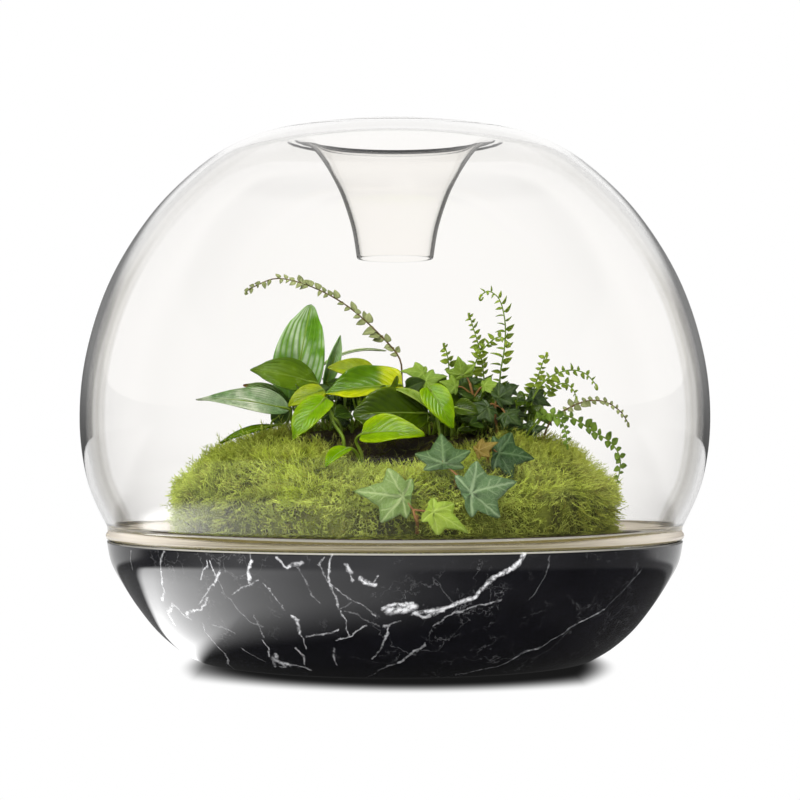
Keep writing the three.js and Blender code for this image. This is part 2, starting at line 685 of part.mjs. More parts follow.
// Button fern: one long frond arching to the left, and a clump on the right.
const fernFronds = {
  fern_long_left: {
    ground: [8, 22], via: [[4, 20, 148], [2.5, 20, 163], [-9, 24, 177], [-27, 27, 193], [-47, 30, 204],
      [-66, 32, 209], [-79, 34, 205], [-84, 34, 202]],
    pairs: 10, size: 4.4, first: 0.3, face: [0.2, -1, 0.3], seed: 11, bud: 1.2,
  },
  fern_upright: {
    ground: [60, 14], via: [[58, 12, 150], [60.5, 12, 168], [61, 12, 182], [58, 11, 195], [52, 10, 200],
      [48, 9, 198]],
    pairs: 7, size: 8, first: 0.28, face: towardsViewer, seed: 12, bud: 2,
  },
  fern_inner: {
    ground: [46, 4], via: [[42, 2, 150], [46, 1, 164], [53, 0, 172], [58, -1, 174], [62, -1, 171]],
    pairs: 6, size: 6.5, first: 0.35, face: towardsViewer, seed: 13,
  },
  fern_young: {
    ground: [51, 8], via: [[49, 8, 152], [46.5, 8, 168], [43, 8, 180], [41, 8, 187]],
    pairs: 6, size: 6, first: 0.45, face: towardsViewer, seed: 14, bud: 1.8,
  },
  fern_short: {
    ground: [32, 2], via: [[30, 0, 150], [29, 0, 162], [27, 0, 170]],
    pairs: 2, size: 5, first: 0.72, face: towardsViewer, seed: 15, bud: 1.8,
  },
  fern_small_upright: {
    ground: [68, 4], via: [[72, 2, 134], [77, 2, 148], [81, 2, 160], [83, 2, 165]],
    pairs: 5, size: 6.5, first: 0.45, face: towardsViewer, seed: 16, bud: 1.8,
  },
  fern_right_upper: {
    ground: [72, -8], via: [[75, -8, 140], [83, -8, 151], [94, -8, 155.5], [103, -8, 154], [109, -8, 148]],
    pairs: 6, size: 5.5, first: 0.4, face: towardsViewer, seed: 17, bud: 1.8,
  },
  fern_right_middle: {
    ground: [75, 10], via: [[78, 10, 134], [85, 10, 145], [93, 10, 149], [98, 10, 146], [100, 10, 142]],
    pairs: 4, size: 5.5, first: 0.45, face: towardsViewer, seed: 18, bud: 1.8,
  },
  fern_right_arch: {
    ground: [80, -20], via: [[84, -20, 128], [92, -20, 134], [103, -20, 138.5], [113, -20, 138],
      [121, -20, 133], [125, -20, 127]],
    pairs: 7, size: 4, first: 0.35, face: [0, -1, 0.6], seed: 19, bud: 1.3,
  },
  fern_right_fall: {
    ground: [70, -36], via: [[74, -40, 126], [79, -43, 131], [85, -45, 130], [89, -47, 123], [90, -48, 115]],
    pairs: 5, size: 5, first: 0.42, face: [0.2, -1, 0.3], seed: 20, bud: 1.3,
  },
  fern_right_trail: {
    ground: [76, -6], via: [[80, -6, 125], [86, -6, 131], [96, -5, 130], [108.5, -4, 122], [117, -3, 117],
      [122.5, -3, 109], [122.5, -3, 100], [120, -3, 92]],
    pairs: 8, size: 5, first: 0.32, face: [0.2, -1, 0.3], seed: 21, bud: 1.3,
  },
};

// ---------------------------------------------------------------- assembly

const terrarium = new THREE.Group();

function place(name, shape, material) {
  const mesh = new THREE.Mesh(geometryOf(shape), materials[material]);
  mesh.name = name;
  terrarium.add(mesh);
}

const bores = [];
function plant(plans, grow, material) {
  for (const [name, plan] of Object.entries(plans)) {
    const { shape, bore } = grow(plan);
    place(name, largest(shape), plan.material ?? material);
    bores.push(bore);
  }
}

plant(lilyLeaves, leafOnStalk);
plant(strapLeaves, leafOnStalk);
plant(pothosLeaves, leafOnStalk);
plant(ivyStems, ivyStem);
plant(fernFronds, frond, "fern");

const holes = join(bores);
place("stone_bowl", solid(bowlShape()), "marble");
const { dome, funnel } = glassBodies();
place("glass_dome", largest(dome), "glass");
place("glass_funnel", largest(funnel), "glass");
place("soil", largest(soilShape().subtract(holes)), "soil");
place("moss", largest(mossShape().subtract(holes)), "moss");

export default terrarium;
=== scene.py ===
import math
import random

import bmesh
import bpy
from mathutils import Matrix, Vector, noise


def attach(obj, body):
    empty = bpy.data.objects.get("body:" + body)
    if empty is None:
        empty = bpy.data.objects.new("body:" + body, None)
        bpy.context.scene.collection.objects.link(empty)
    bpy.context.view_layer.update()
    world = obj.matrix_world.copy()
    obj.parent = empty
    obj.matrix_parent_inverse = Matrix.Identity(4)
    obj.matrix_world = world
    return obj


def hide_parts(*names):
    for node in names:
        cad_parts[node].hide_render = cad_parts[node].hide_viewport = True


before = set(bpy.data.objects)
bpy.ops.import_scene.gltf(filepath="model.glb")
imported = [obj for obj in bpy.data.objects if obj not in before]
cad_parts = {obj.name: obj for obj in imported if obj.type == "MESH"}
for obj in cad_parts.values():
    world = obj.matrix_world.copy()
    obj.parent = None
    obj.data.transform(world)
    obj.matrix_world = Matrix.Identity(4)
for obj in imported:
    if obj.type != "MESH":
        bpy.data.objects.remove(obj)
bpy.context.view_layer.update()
scene = bpy.context.scene
scene.view_settings.view_transform = "Standard"
mm = 0.001


# Small helpers for meshes

def meshFrom(name, bm):
    mesh = bpy.data.meshes.new(name)
    bm.to_mesh(mesh)
    bm.free()
    return mesh


def addObject(name, data):
    thing = bpy.data.objects.new(name, data)
    scene.collection.objects.link(thing)
    return thing


def makePiece(name, bm, materials, standsFor=(), smooth=True):
    mesh = meshFrom(name, bm)
    for material in materials:
        mesh.materials.append(material)
    mesh.shade_smooth() if smooth else mesh.shade_flat()
    piece = addObject(name, mesh)
    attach(piece, "root")
    if standsFor:
        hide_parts(*standsFor)
    print("made", name, "with", sum(len(face.vertices) - 2 for face in mesh.polygons), "triangles")
    return piece


def catmull(a, b, c, d, t):
    return 0.5 * ((2 * b) + (c - a) * t + (2 * a - 5 * b + 4 * c - d) * t * t
                  + (3 * b - a - 3 * c + d) * t ** 3)


# Evenly many points on a smooth line through a few points
def smoothLine(points, perPart):
    line = []
    for i in range(len(points) - 1):
        near = [Vector(points[min(max(i + k, 0), len(points) - 1)]) for k in (-1, 0, 1, 2)]
        line += [catmull(*near, step / perPart) for step in range(perPart)]
    return line + [Vector(points[-1])]


# The same flat line moved sideways, to its left as it is drawn
def offsetLine(line, distance):
    moved = []
    for i, point in enumerate(line):
        run = line[min(i + 1, len(line) - 1)] - line[max(i - 1, 0)]
        moved.append(point + Vector((-run.y, run.x)).normalized() * distance)
    return moved


# A round shape spun about Z from [radius, height] points in millimetres
def spinProfile(points, steps, closed=False):
    bm = bmesh.new()
    verts = [bm.verts.new((p[0] * mm, 0, p[1] * mm)) for p in points]
    edges = [bm.edges.new(pair) for pair in zip(verts, verts[1:] + verts[:1] * closed)]
    bmesh.ops.spin(bm, geom=verts + edges, axis=(0, 0, 1), angle=2 * math.pi, steps=steps, use_merge=True)
    bmesh.ops.remove_doubles(bm, verts=bm.verts, dist=1e-6)
    bmesh.ops.recalc_face_normals(bm, faces=bm.faces)
    return bm


# Small helpers for materials

# A value in a shader's tree. Sums on it, and the calls below, add the nodes that work them out
class Value:
    def __init__(self, tree, socket):
        self.tree, self.socket = tree, socket

    def node(self, kind, inputs, out=0, **settings):
        return Value(self.tree, addNode(self.tree, kind, inputs, **settings).outputs[out])

    def math(self, operation, *others, clamp=False):
        return self.node("Math", dict(enumerate((self, *others))), operation=operation, use_clamp=clamp)

    def __mul__(self, other):
        return self.math("MULTIPLY", other)

    def __add__(self, other):
        return self.math("ADD", other)

    def __sub__(self, other):
        return self.math("SUBTRACT", other)

    def __abs__(self):
        return self.math("ABSOLUTE")

    def times(self, factor, more, clamp=False):  # and then a sum
        return self.math("MULTIPLY_ADD", factor, more, clamp=clamp)

    def atLeast(self, other):
        return self.math("MAXIMUM", other)

    def past(self, limit):
        return self.math("GREATER_THAN", limit)

    def flipped(self):
        return self.times(-1, 1)

    def ranged(self, low, high, toLow=0, toHigh=1, kind="SMOOTHSTEP"):
        inputs = {"Value": self, "From Min": low, "From Max": high, "To Min": toLow, "To Max": toHigh}
        return self.node("MapRange", inputs, "Result", interpolation_type=kind)

    def between(self, a, b):  # two plain values, mixed by this one
        return self.node("Mix", {0: self, 2: a, 3: b})

    def mix(self, a, b):  # two colours
        return self.node("Mix", {0: self, 6: a, 7: b}, 2, data_type="RGBA")

    def tinted(self, tint):
        return self.node("Mix", {0: 1, 6: self, 7: tint}, 2, data_type="RGBA", blend_type="MULTIPLY")

    def vector(self, operation, *others, out=0):
        return self.node("VectorMath", dict(enumerate((self, *others))), out, operation=operation)

    def scaled(self, scale):
        return self.node("VectorMath", {0: self, "Scale": scale}, operation="SCALE")

    def length(self):
        return self.vector("LENGTH", out="Value")

    def axes(self):
        return [Value(self.tree, out) for out in addNode(self.tree, "SeparateXYZ", {0: self}).outputs]

    def noise(self, scale, detail=3, out=0, **more):
        return self.node("TexNoise", {"Vector": self, "Scale": scale, "Detail": detail, **more}, out)

    def cracks(self, scale):
        return self.node("TexVoronoi", {"Vector": self, "Scale": scale}, "Distance", feature="DISTANCE_TO_EDGE")

    def bump(self, strength, distance):
        return self.node("Bump", {"Height": self, "Strength": strength, "Distance": distance})


def fill(tree, node, inputs):
    for key, value in inputs.items():
        if isinstance(value, bpy.types.Node):
            value = Value(tree, value.outputs[0])
        if isinstance(value, Value):
            tree.links.new(value.socket, node.inputs[key])
        else:
            node.inputs[key].default_value = value


def addNode(tree, kind, inputs=None, **settings):
    node = tree.nodes.new("ShaderNode" + kind)
    for key, value in settings.items():
        setattr(node, key, value)
    fill(tree, node, inputs or {})
    return node


# A node's outputs, by their names
def outputsOf(tree, node):
    return {out.name: Value(tree, out) for out in node.outputs}


def coords(tree, kind="Object"):
    return outputsOf(tree, addNode(tree, "TexCoord"))[kind]


def rgb(red, green, blue):  # the screen's own 0 to 255 values, as light
    return tuple((c / 255) ** 2.2 for c in (red, green, blue)) + (1.0,)


def grey(light):
    return (light,) * 3 + (1,)


def newMaterial(name):
    material = bpy.data.materials.new(name)
    material.use_nodes = True
    tree = material.node_tree
    tree.nodes.clear()
    return (material, addNode(tree, "BsdfPrincipled")), coords(tree)


def showSurface(tree, shader):
    addNode(tree, "OutputMaterial", {"Surface": shader})


def setInputs(tree, node, **values):
    fill(tree, node, {key.replace("_", " "): value for key, value in values.items()})


# The material with its shader as the surface. Thin leaves also let some light through
def finishLook(look, color, through=0, **values):
    material, shader = look
    tree = material.node_tree
    setInputs(tree, shader, Base_Color=color, **values)
    if through:
        behind = addNode(tree, "BsdfTranslucent", {"Color": color})
        shader = addNode(tree, "MixShader", {0: through, 1: shader, 2: behind})
    showSurface(tree, shader)
    return material


def newGroup(name, takes, gives):
    group = bpy.data.node_groups.new(name, "ShaderNodeTree")
    for label, kind in takes.items():
        group.interface.new_socket(label, in_out="INPUT", socket_type="NodeSocket" + kind)
    for label in gives:
        group.interface.new_socket(label, in_out="OUTPUT", socket_type="NodeSocketFloat")
    given, made = group.nodes.new("NodeGroupInput"), group.nodes.new("NodeGroupOutput")
    return group, outputsOf(group, given), made


def useGroup(tree, group, **inputs):
    node = tree.nodes.new("ShaderNodeGroup")
    node.node_tree = group
    fill(tree, node, inputs)
    return outputsOf(tree, node)


# Camera: the photograph's own height, distance and tilt

cameraPlan = {"place": (2.7, -1098, 115.2), "tilt": 1.27, "lens": 90.3}

cameraData = bpy.data.cameras.new("photo_camera")
cameraData.lens = cameraPlan["lens"]
cameraData.clip_start, cameraData.clip_end = 0.05, 50
camera = addObject("photo_camera", cameraData)
camera.location = Vector(cameraPlan["place"]) * mm
camera.rotation_euler = (math.radians(90 + cameraPlan["tilt"]), 0, 0)
scene.camera = camera


# Studio: white sweep, soft light all round, one large key light and a light from behind

studio = {
    "background": 1.0,  # behind the object, straight or through the glass
    "softLight": 0.7,  # what lights the leaves and the moss
    "topLight": 0.45,
    "roomInGloss": (0.1, 0.25),  # dim room that polished faces reflect, below and above the horizon
    "roomOnLeaves": 0.08,  # room that leaves inside the dome reflect
    # The window that gives those leaves their highlights
    "leafWindow": {"toward": (-0.22, -0.55, 0.8), "light": 7.0},
    "key": {"place": (-0.45, -0.75, 1.35), "aim": (0, 0, 0.12), "size": 1.0, "power": 26},
    "back": {"place": (0.35, 1.0, 0.9), "aim": (0, 0, 0.13), "size": 0.8, "power": 12},
    "farFloor": 0.05,  # what the mirrored floor is beyond the table and behind the object
    "rearFloor": 0.85,
}


def buildWorld():
    world = bpy.data.worlds.new("studio")
    scene.world = world
    world.use_nodes = True
    tree = world.node_tree
    tree.nodes.clear()
    path = outputsOf(tree, addNode(tree, "LightPath"))
    direction = coords(tree, "Generated")
    right, away, up = direction.axes()
    soft = up.ranged(-0.2, 0.9).mix(grey(studio["softLight"]), grey(studio["softLight"] + studio["topLight"]))
    reflected, bounced = path["Glossy Depth"].past(0.5), path["Diffuse Depth"].past(0.5)
    through = path["Is Camera Ray"].atLeast(path["Is Transmission Ray"])
    straight = through * reflected.atLeast(bounced).flipped()
    inGloss = path["Is Glossy Ray"].atLeast(through) * reflected
    # A leaf's own sheen is seen after four glass faces, the glass's after two at most
    inside = path["Transmission Depth"].past(3.5)
    dark = up.ranged(-0.04, 0.12).mix(*[grey(light) for light in studio["roomInGloss"]])
    onLeaves = up.ranged(0.1, 0.6).mix(dark, grey(studio["roomOnLeaves"]))
    window = direction.vector("DOT_PRODUCT", studio["leafWindow"]["toward"], out="Value")
    onLeaves = window.ranged(0.89, 0.95).mix(onLeaves, grey(studio["leafWindow"]["light"]))
    # Polished faces seen at a slant mirror the white backdrop, with a dark card at each side of it
    azimuth = abs(right).math("ARCTAN2", away) * (180 / math.pi)
    card = azimuth.ranged(8, 12) * azimuth.ranged(43, 39) * up.ranged(0.34, 0.2)
    backdrop = away.ranged(0, 0.3) * card.flipped()
    polished = backdrop.atLeast(up.ranged(0.6, 0.9)).mix(dark, grey(1))
    room = inGloss.mix(soft, inside.mix(polished, onLeaves))
    shown = straight.mix(room, grey(studio["background"]))
    addNode(tree, "OutputWorld", {"Surface": addNode(tree, "Background", {"Color": shown, "Strength": 1})})


def addSoftbox(name, plan):
    data = bpy.data.lights.new(name, "AREA")
    data.shape = "SQUARE"
    data.size = plan["size"]
    data.energy = plan["power"]
    lamp = addObject(name, data)
    lamp.location = plan["place"]
    aim = Vector(plan["aim"]) - Vector(plan["place"])
    lamp.rotation_mode = "QUATERNION"
    lamp.rotation_quaternion = aim.to_track_quat("-Z", "Y")
    lamp.visible_glossy = False
    lamp.visible_transmission = False


# How bright the table is in a mirroring face, by degrees round from the front: close by and further out
tableNear = [(-96, 0.15), (-89, 3.6), (-81, 4.5), (-58, 4.3), (-48, 3.6), (-40, 2.9), (-31, 2.3), (-22, 1.7),
             (-12, 1.35), (-3, 1.05), (6, 0.45), (17, 0.15), (30, 0.07), (50, 0.02)]
tableFar = [(-86, 0.1), (-70, 0.5), (-58, 0.9), (-47, 1.2), (-32, 1.0), (-4, 1.0), (8, 0.8), (20, 0.6), (34, 0.4),
            (60, 0.2)]
rampReach, rampTop = 100, 5  # degrees to each side, and the brightest light


def rampOut(degrees, stops):
    ramp = addNode(degrees.tree, "ValToRGB", {0: degrees.ranged(-rampReach, rampReach, kind="LINEAR")})
    elements = ramp.color_ramp.elements
    while len(elements) < len(stops):
        elements.new(0.5)
    for element, (angle, light) in zip(elements, stops):
        element.position = (angle + rampReach) / (2 * rampReach)
        element.color = grey(light / rampTop)
    return Value(degrees.tree, ramp.outputs[0]) * rampTop


# A white table that glows as if lit from below, with a painted shadow: dark in an oval under the bowl and a little in
# front of it.
# Polished faces mirror its bright left side, which is also painted into its glow
def buildFloor():
    bm = bmesh.new()
    bmesh.ops.create_circle(bm, cap_ends=True, segments=64, radius=3.0)
    bmesh.ops.translate(bm, verts=bm.verts, vec=(0, 0, -0.2 * mm))
    floor = addObject("floor", meshFrom("floor", bm))
    (material, shader), spot = newMaterial("pale_floor")
    tree = spot.tree
    floor.data.materials.append(material)
    path = outputsOf(tree, addNode(tree, "LightPath"))
    x, y = spot.axes()[:2]
    away = spot.length()
    degrees = x.math("ARCTAN2", y * -1) * (180 / math.pi)
    # 1 at the edge of the painted shadow's dark oval
    paintedShadowOval = spot.vector("SUBTRACT", (0.01, -0.035, 0)).vector("DIVIDE", (0.117, 0.109, 1)).length()
    paintedShadowOval = paintedShadowOval + abs(x + 0.004).times(12, -1.14).atLeast(0)
    lit = paintedShadowOval.ranged(0.77, 1.22)
    nearLight = rampOut(degrees, tableNear) * paintedShadowOval.ranged(0.95, 1.26)
    light = away.ranged(0.24, 0.28).between(nearLight, rampOut(degrees, tableFar))
    light = away.ranged(0.54, 0.49).times(light, studio["farFloor"])
    rear = y.ranged(0, 0.12) * away.ranged(0.31, 0.38)
    light = rear.between(light, studio["rearFloor"])
    mirrored = addNode(tree, "Emission", {"Color": grey(1), "Strength": light})
    setInputs(tree, shader, Base_Color=grey(0.9), Roughness=0.9, Specular_IOR_Level=0)
    # Painted shadow: what the camera sees glows white, fading to dark inside the oval
    glow = addNode(tree, "Emission", {"Color": grey(1), "Strength": (lit * lit).times(0.99, 0.01)})
    seen = path["Is Camera Ray"].atLeast(path["Is Transmission Ray"])
    direct = addNode(tree, "MixShader", {0: seen, 1: shader, 2: glow})
    showSurface(tree, addNode(tree, "MixShader", {0: path["Glossy Depth"].past(0.5), 1: direct, 2: mirrored}))


buildWorld()
buildFloor()
addSoftbox("key_light", studio["key"])
addSoftbox("back_light", studio["back"])


# Stone bowl

bowl = {
    "rim": 64, "rimRadius": 155.8, "innerRadius": 134, "edge": 1,
    "outside": [(108, 0), (118.8, 6.6), (129.8, 16.4), (140.1, 29.5), (148.6, 42.7), (153.6, 52.5), (155.8, 63)],
    "inside": [(134, 63), (131, 54), (119, 36), (98, 22), (70, 15.5), (45, 14)],
}


# Points round a quarter turn, for a small rounded edge
def cornerArc(centre, radius, start, end, count=5):
    turns = [math.radians(start + (end - start) * i / count) for i in range(count + 1)]
    return [(centre[0] + radius * math.cos(t), centre[1] + radius * math.sin(t)) for t in turns]


def bowlMesh():
    rim, edge = bowl["rim"], bowl["edge"]
    outer, inner = bowl["rimRadius"], bowl["innerRadius"]
    outside = smoothLine(bowl["outside"], 8)[:-1]
    inside = smoothLine(bowl["inside"], 6)[1:]
    over = cornerArc((outer - edge, rim - edge), edge, 0, 90) + [(outer - 2.5, rim), (inner + 2.5, rim)]
    over += cornerArc((inner + edge, rim - edge), edge, 90, 180)
    foot = [(0, 0), (60, 0), (107, 0), (107.6, 0.1)]
    return spinProfile([*foot, *outside[1:], *over, *inside, (0, 14)], 192)


# Adds a vein along one straight stretch: its strength on the line, fading to 0 at its width
def buildVeinGroup():
    takes = {"Place": "Vector", "Start": "Vector", "Run": "Vector", "Share": "Float", "Width": "Float",
             "Strength": "Float", "Before": "Float"}
    group, got, made = newGroup("vein_stretch", takes, ["Mask"])
    away = got["Place"].vector("SUBTRACT", got["Start"])
    share = away.vector("DOT_PRODUCT", got["Run"], out="Value").math("MULTIPLY", got["Share"], clamp=True)
    distance = away.vector("DISTANCE", got["Run"].scaled(share), out="Value")
    mask = distance.ranged(got["Width"], 0, 0, got["Strength"])
    fill(group, made, {"Mask": mask.atLeast(got["Before"])})
    return group


veinStretch = buildVeinGroup()


def addVein(place, start, end, width, strength, before):
    run = Vector(end) - Vector(start)
    return useGroup(place.tree, veinStretch, Place=place, Start=Vector(start), Run=run,
                    Share=1 / run.length_squared, Width=width, Strength=strength, Before=before)["Mask"]


# Veins on the bowl's front, as [strength, width, points], each point being millimetres to the
# right along the wall and millimetres up, as in the photograph
veins = [
    [1.0, 1.6, [(9, 35), (15, 36), (22, 37), (31, 40), (39, 43), (41, 47), (44, 50), (49, 53), (56, 56),
    (59, 59), (61, 63)]], [1.0, 2.8, [(-3, 36), (2, 37), (9, 39)]],
    [0.9, 1.2, [(-6, 37), (0, 40), (9, 41)]], [0.9, 1.2, [(9, 35), (14, 33), (23, 36)]],
    [0.35, 0.6, [(20, 29), (26, 33), (33, 35), (42, 39), (54, 41)]],
    [0.14, 0.5, [(74, 61), (74, 53), (72, 46), (68, 41)]],
    [0.3, 0.6, [(40, 2), (53, 4), (66, 5), (77, 11)]], [0.55, 1.1, [(74, 10), (79, 13), (88, 14)]],
    [0.3, 0.5, [(88, 14), (94, 19), (103, 24)]], [0.4, 0.7, [(102, 24), (112, 28), (123, 33)]],
    [0.12, 0.5, [(123, 33), (131, 42), (140, 53)]], [0.35, 0.6, [(-154, 62), (-159, 51)]],
    [0.7, 0.9, [(-123, 63), (-126, 59), (-129, 50), (-134, 42), (-142, 37)]],
    [0.8, 1.3, [(-132, 35), (-143, 30), (-145, 24)]], [0.75, 1.0, [(-132, 35), (-128, 30), (-124, 28)]],
    [0.6, 0.7, [(-94, 59), (-94, 56), (-97, 54), (-100, 50)]],
    [0.6, 0.7, [(-92, 59), (-91, 55), (-89, 51)]], [0.8, 1.2, [(-87, 54), (-89, 51), (-93, 48)]],
    [0.4, 0.6, [(-93, 48), (-100, 43), (-110, 37)]],
    [0.8, 1.0, [(-100, 41), (-105, 37), (-110, 34), (-125, 30)]],
    [0.2, 0.5, [(-88, 51), (-88, 46), (-88, 41)]], [0.9, 1.2, [(-68, 59), (-70, 55), (-71, 50)]],
    [0.3, 0.5, [(-68, 63), (-68, 59)]], [0.35, 0.6, [(-83, 43), (-76, 47), (-70, 49), (-66, 50)]],
    [0.4, 0.6, [(-64, 49), (-61, 46), (-59, 41), (-56, 37)]],
    [0.2, 0.7, [(-89, 44), (-85, 40), (-83, 34), (-79, 29), (-73, 27)]],
    [0.7, 0.9, [(-55, 62), (-52, 58), (-50, 56)]], [0.8, 1.4, [(-50, 56), (-47, 58), (-43, 59)]],
    [0.2, 0.6, [(-45, 57), (-42, 50), (-40, 44), (-37, 40)]], [0.6, 0.8, [(-29, 63), (-30, 58), (-30, 51)]],
    [0.5, 0.7, [(-30, 51), (-28, 44), (-27, 38)]], [0.6, 0.6, [(-26, 36), (-25, 31), (-25, 24)]],
    [0.3, 0.5, [(-33, 62), (-35, 59), (-33, 55), (-30, 51)]],
    [0.5, 0.6, [(-30, 51), (-25, 46), (-19, 41), (-14, 37), (-10, 34)]],
    [0.18, 0.5, [(-27, 37), (-19, 41)]], [0.15, 0.5, [(-24, 36), (-15, 32), (-7, 29)]],
    [0.7, 0.9, [(-22, 59), (-19, 55), (-19, 51)]], [1.0, 1.5, [(-15, 52), (-13, 51), (-9, 50)]],
    [0.5, 0.6, [(-9, 51), (-7, 54)]], [0.95, 1.2, [(-53, 33), (-51, 31), (-52, 24)]],
    [0.5, 0.6, [(-52, 24), (-50, 20), (-51, 16)]], [0.5, 0.5, [(-49, 22), (-41, 23), (-34, 24), (-30, 27)]],
    [0.5, 0.5, [(-31, 21), (-23, 24), (-18, 27), (-14, 29)]],
    [0.55, 0.6, [(-114, 27), (-117, 22), (-116, 17), (-113, 11), (-118, 7), (-129, 1)]],
    [0.3, 0.5, [(-107, 25), (-101, 25), (-93, 22)]], [0.25, 0.5, [(-75, 33), (-75, 27), (-74, 22)]],
    [0.6, 0.6, [(-76, 20), (-75, 16), (-78, 11)]], [0.3, 0.5, [(-95, 15), (-91, 11), (-85, 7)]],
    [0.85, 2.4, [(-76, 9), (-73, 7), (-68, 6)]], [0.7, 1.3, [(-72, 12), (-81, 4)]],
    [0.6, 0.8, [(-57, 16), (-54, 13), (-56, 7)]], [0.5, 0.8, [(-77, 4), (-62, 6), (-54, 4)]],
    [0.4, 0.7, [(-33, 17), (-36, 8)]], [0.45, 0.6, [(-2, 29), (-4, 22), (-9, 15), (-13, 11)]],
    [0.3, 0.5, [(-20, 0), (-8, 6), (2, 10)]], [0.5, 0.9, [(2, 10), (10, 15), (17, 19)]],
    [0.4, 0.6, [(-5, 29), (3, 30)]],
]

# The wall's parts, each with a material of its own that draws the veins there, from a little way outside it
marbleParts = [(-240, -92), (-92, -66), (-66, -34), (-34, 14), (14, 240)]
marbleReach, wallRadius = 9, 150


def marbleMaterial(part, low, high):
    look, spot = newMaterial(f"black_marble_{part}")
    x, y, z = spot.axes()
    turn = x.math("ARCTAN2", y * -1)
    wall = x.node("CombineXYZ", {"X": turn * wallRadius, "Y": z * 1000})
    solid = spot.scaled(1000)
    half = (0.5, 0.5, 0.5)
    wander = solid.noise(0.07, 5, "Color", Roughness=0.65).vector("SUBTRACT", half)
    crumble = solid.noise(1.1, 3, "Color", Roughness=0.6).vector("SUBTRACT", half)
    place = crumble.vector("MULTIPLY_ADD", (1.3, 1.3, 0), wander.vector("MULTIPLY_ADD", (8, 7, 0), wall))
    named = 0
    for strength, width, points in veins:
        for start, end in zip(points, points[1:]):
            if max(start[0], end[0]) < low - marbleReach or min(start[0], end[0]) > high + marbleReach:
                continue
            named = addVein(place, (*start, 0), (*end, 0), width, strength * 1.25, named)
    # Each vein is torn and comes and goes along its way
    torn = solid.noise(0.45, 5, Roughness=0.65).ranged(0.34, 0.58, 0.1, 1)
    fading = solid.noise(0.11, 2).ranged(0.3, 0.6, 0.45, 1)
    # Fine veins all round, in cracks that come and go
    loose = wander.vector("MULTIPLY_ADD", (26, 26, 26), solid)
    thin = loose.cracks(0.03).ranged(0.016, 0) * solid.noise(0.025, 2).ranged(0.48, 0.66)
    hair = loose.cracks(0.085).ranged(0.028, 0) * solid.noise(0.04).ranged(0.5, 0.7)
    # Only hairlines between the front's own veins, bolder ones round the back
    fine = (thin * y.ranged(0, 0.05, 0.1, 0.6)).atLeast(hair * 0.16)
    veined = (torn * fading * named).math("MAXIMUM", fine * torn, clamp=True)
    color = veined.mix(solid.noise(0.05, 5).mix(rgb(7, 7, 9), rgb(24, 24, 28)), rgb(212, 212, 214))
    # Painted highlight: the rim's edge is coloured as a thin pale line where it catches the light
    out = solid.vector("MULTIPLY", (1, 1, 0)).length()
    aside = abs(x + 0.01).ranged(0.145, 0.08, 0.1, 0.52)
    edge = (z * 1000).ranged(63, 63.35) * out.ranged(154.7, 154.9) * aside
    color = edge.mix(color, rgb(196, 193, 182))
    # Painted reflection: the rim's flat top is coloured paler, as where it mirrors the pale backdrop
    paintedRimTopReflection = z.ranged(0.0636, 0.0639) * out.ranged(151, 150)
    color = (paintedRimTopReflection * 0.4).mix(color, rgb(214, 211, 205))
    return finishLook(look, color, Roughness=solid.noise(0.3).ranged(0.3, 0.8, 0.04, 0.09), IOR=1.5)


def growBowl():
    bm = bowlMesh()
    for face in bm.faces:
        middle = face.calc_center_median()
        turn = math.atan2(middle.x, -middle.y) * wallRadius
        inside = [i for i, (low, high) in enumerate(marbleParts) if low <= turn < high]
        face.material_index = inside[0] if inside else len(marbleParts)
    materials = [marbleMaterial(i, *part) for i, part in enumerate(marbleParts)]
    materials.append(marbleMaterial("back", 400, 400))  # beyond every vein of the front
    makePiece("bowl_stone", bm, materials, ["stone_bowl"])


growBowl()


# Glass dome, turned down into its funnel

dome = {
    "wall": 3.0, "funnelWall": 2.0, "paintedFootShare": 0.8,
    "outside": [(155, 69.8), (166, 95), (170.5, 128), (166.9, 165), (154.2, 204), (132, 240), (104.8, 267), (82, 280),
                (56, 286)],
    "funnel": [(56, 286), (44, 279.5), (31, 260), (22.5, 237), (19, 218)],
}


def domeMesh():
    outside = smoothLine(dome["outside"], 9)
    funnel = smoothLine(dome["funnel"], 9)[1:]
    under = offsetLine(funnel, dome["funnelWall"])[::-1]
    inside = offsetLine(outside, dome["wall"])[::-1]
    lip = cornerArc((20, 218), 1.0, 180, 360, 8)
    bead = cornerArc((154.3, 66.5), 2.2, -80, 60, 7)
    heel = [(151.3, 67.4), (150.2, 66.7), (149.0, 65.9), (148.4, 65.0), (149.0, 64.3), (151.5, 64.3)]
    line = [*bead, *outside[1:], *funnel[:-1], *lip, *under[1:-1], *inside[1:-1], *heel]
    return spinProfile(line, 160, closed=True)


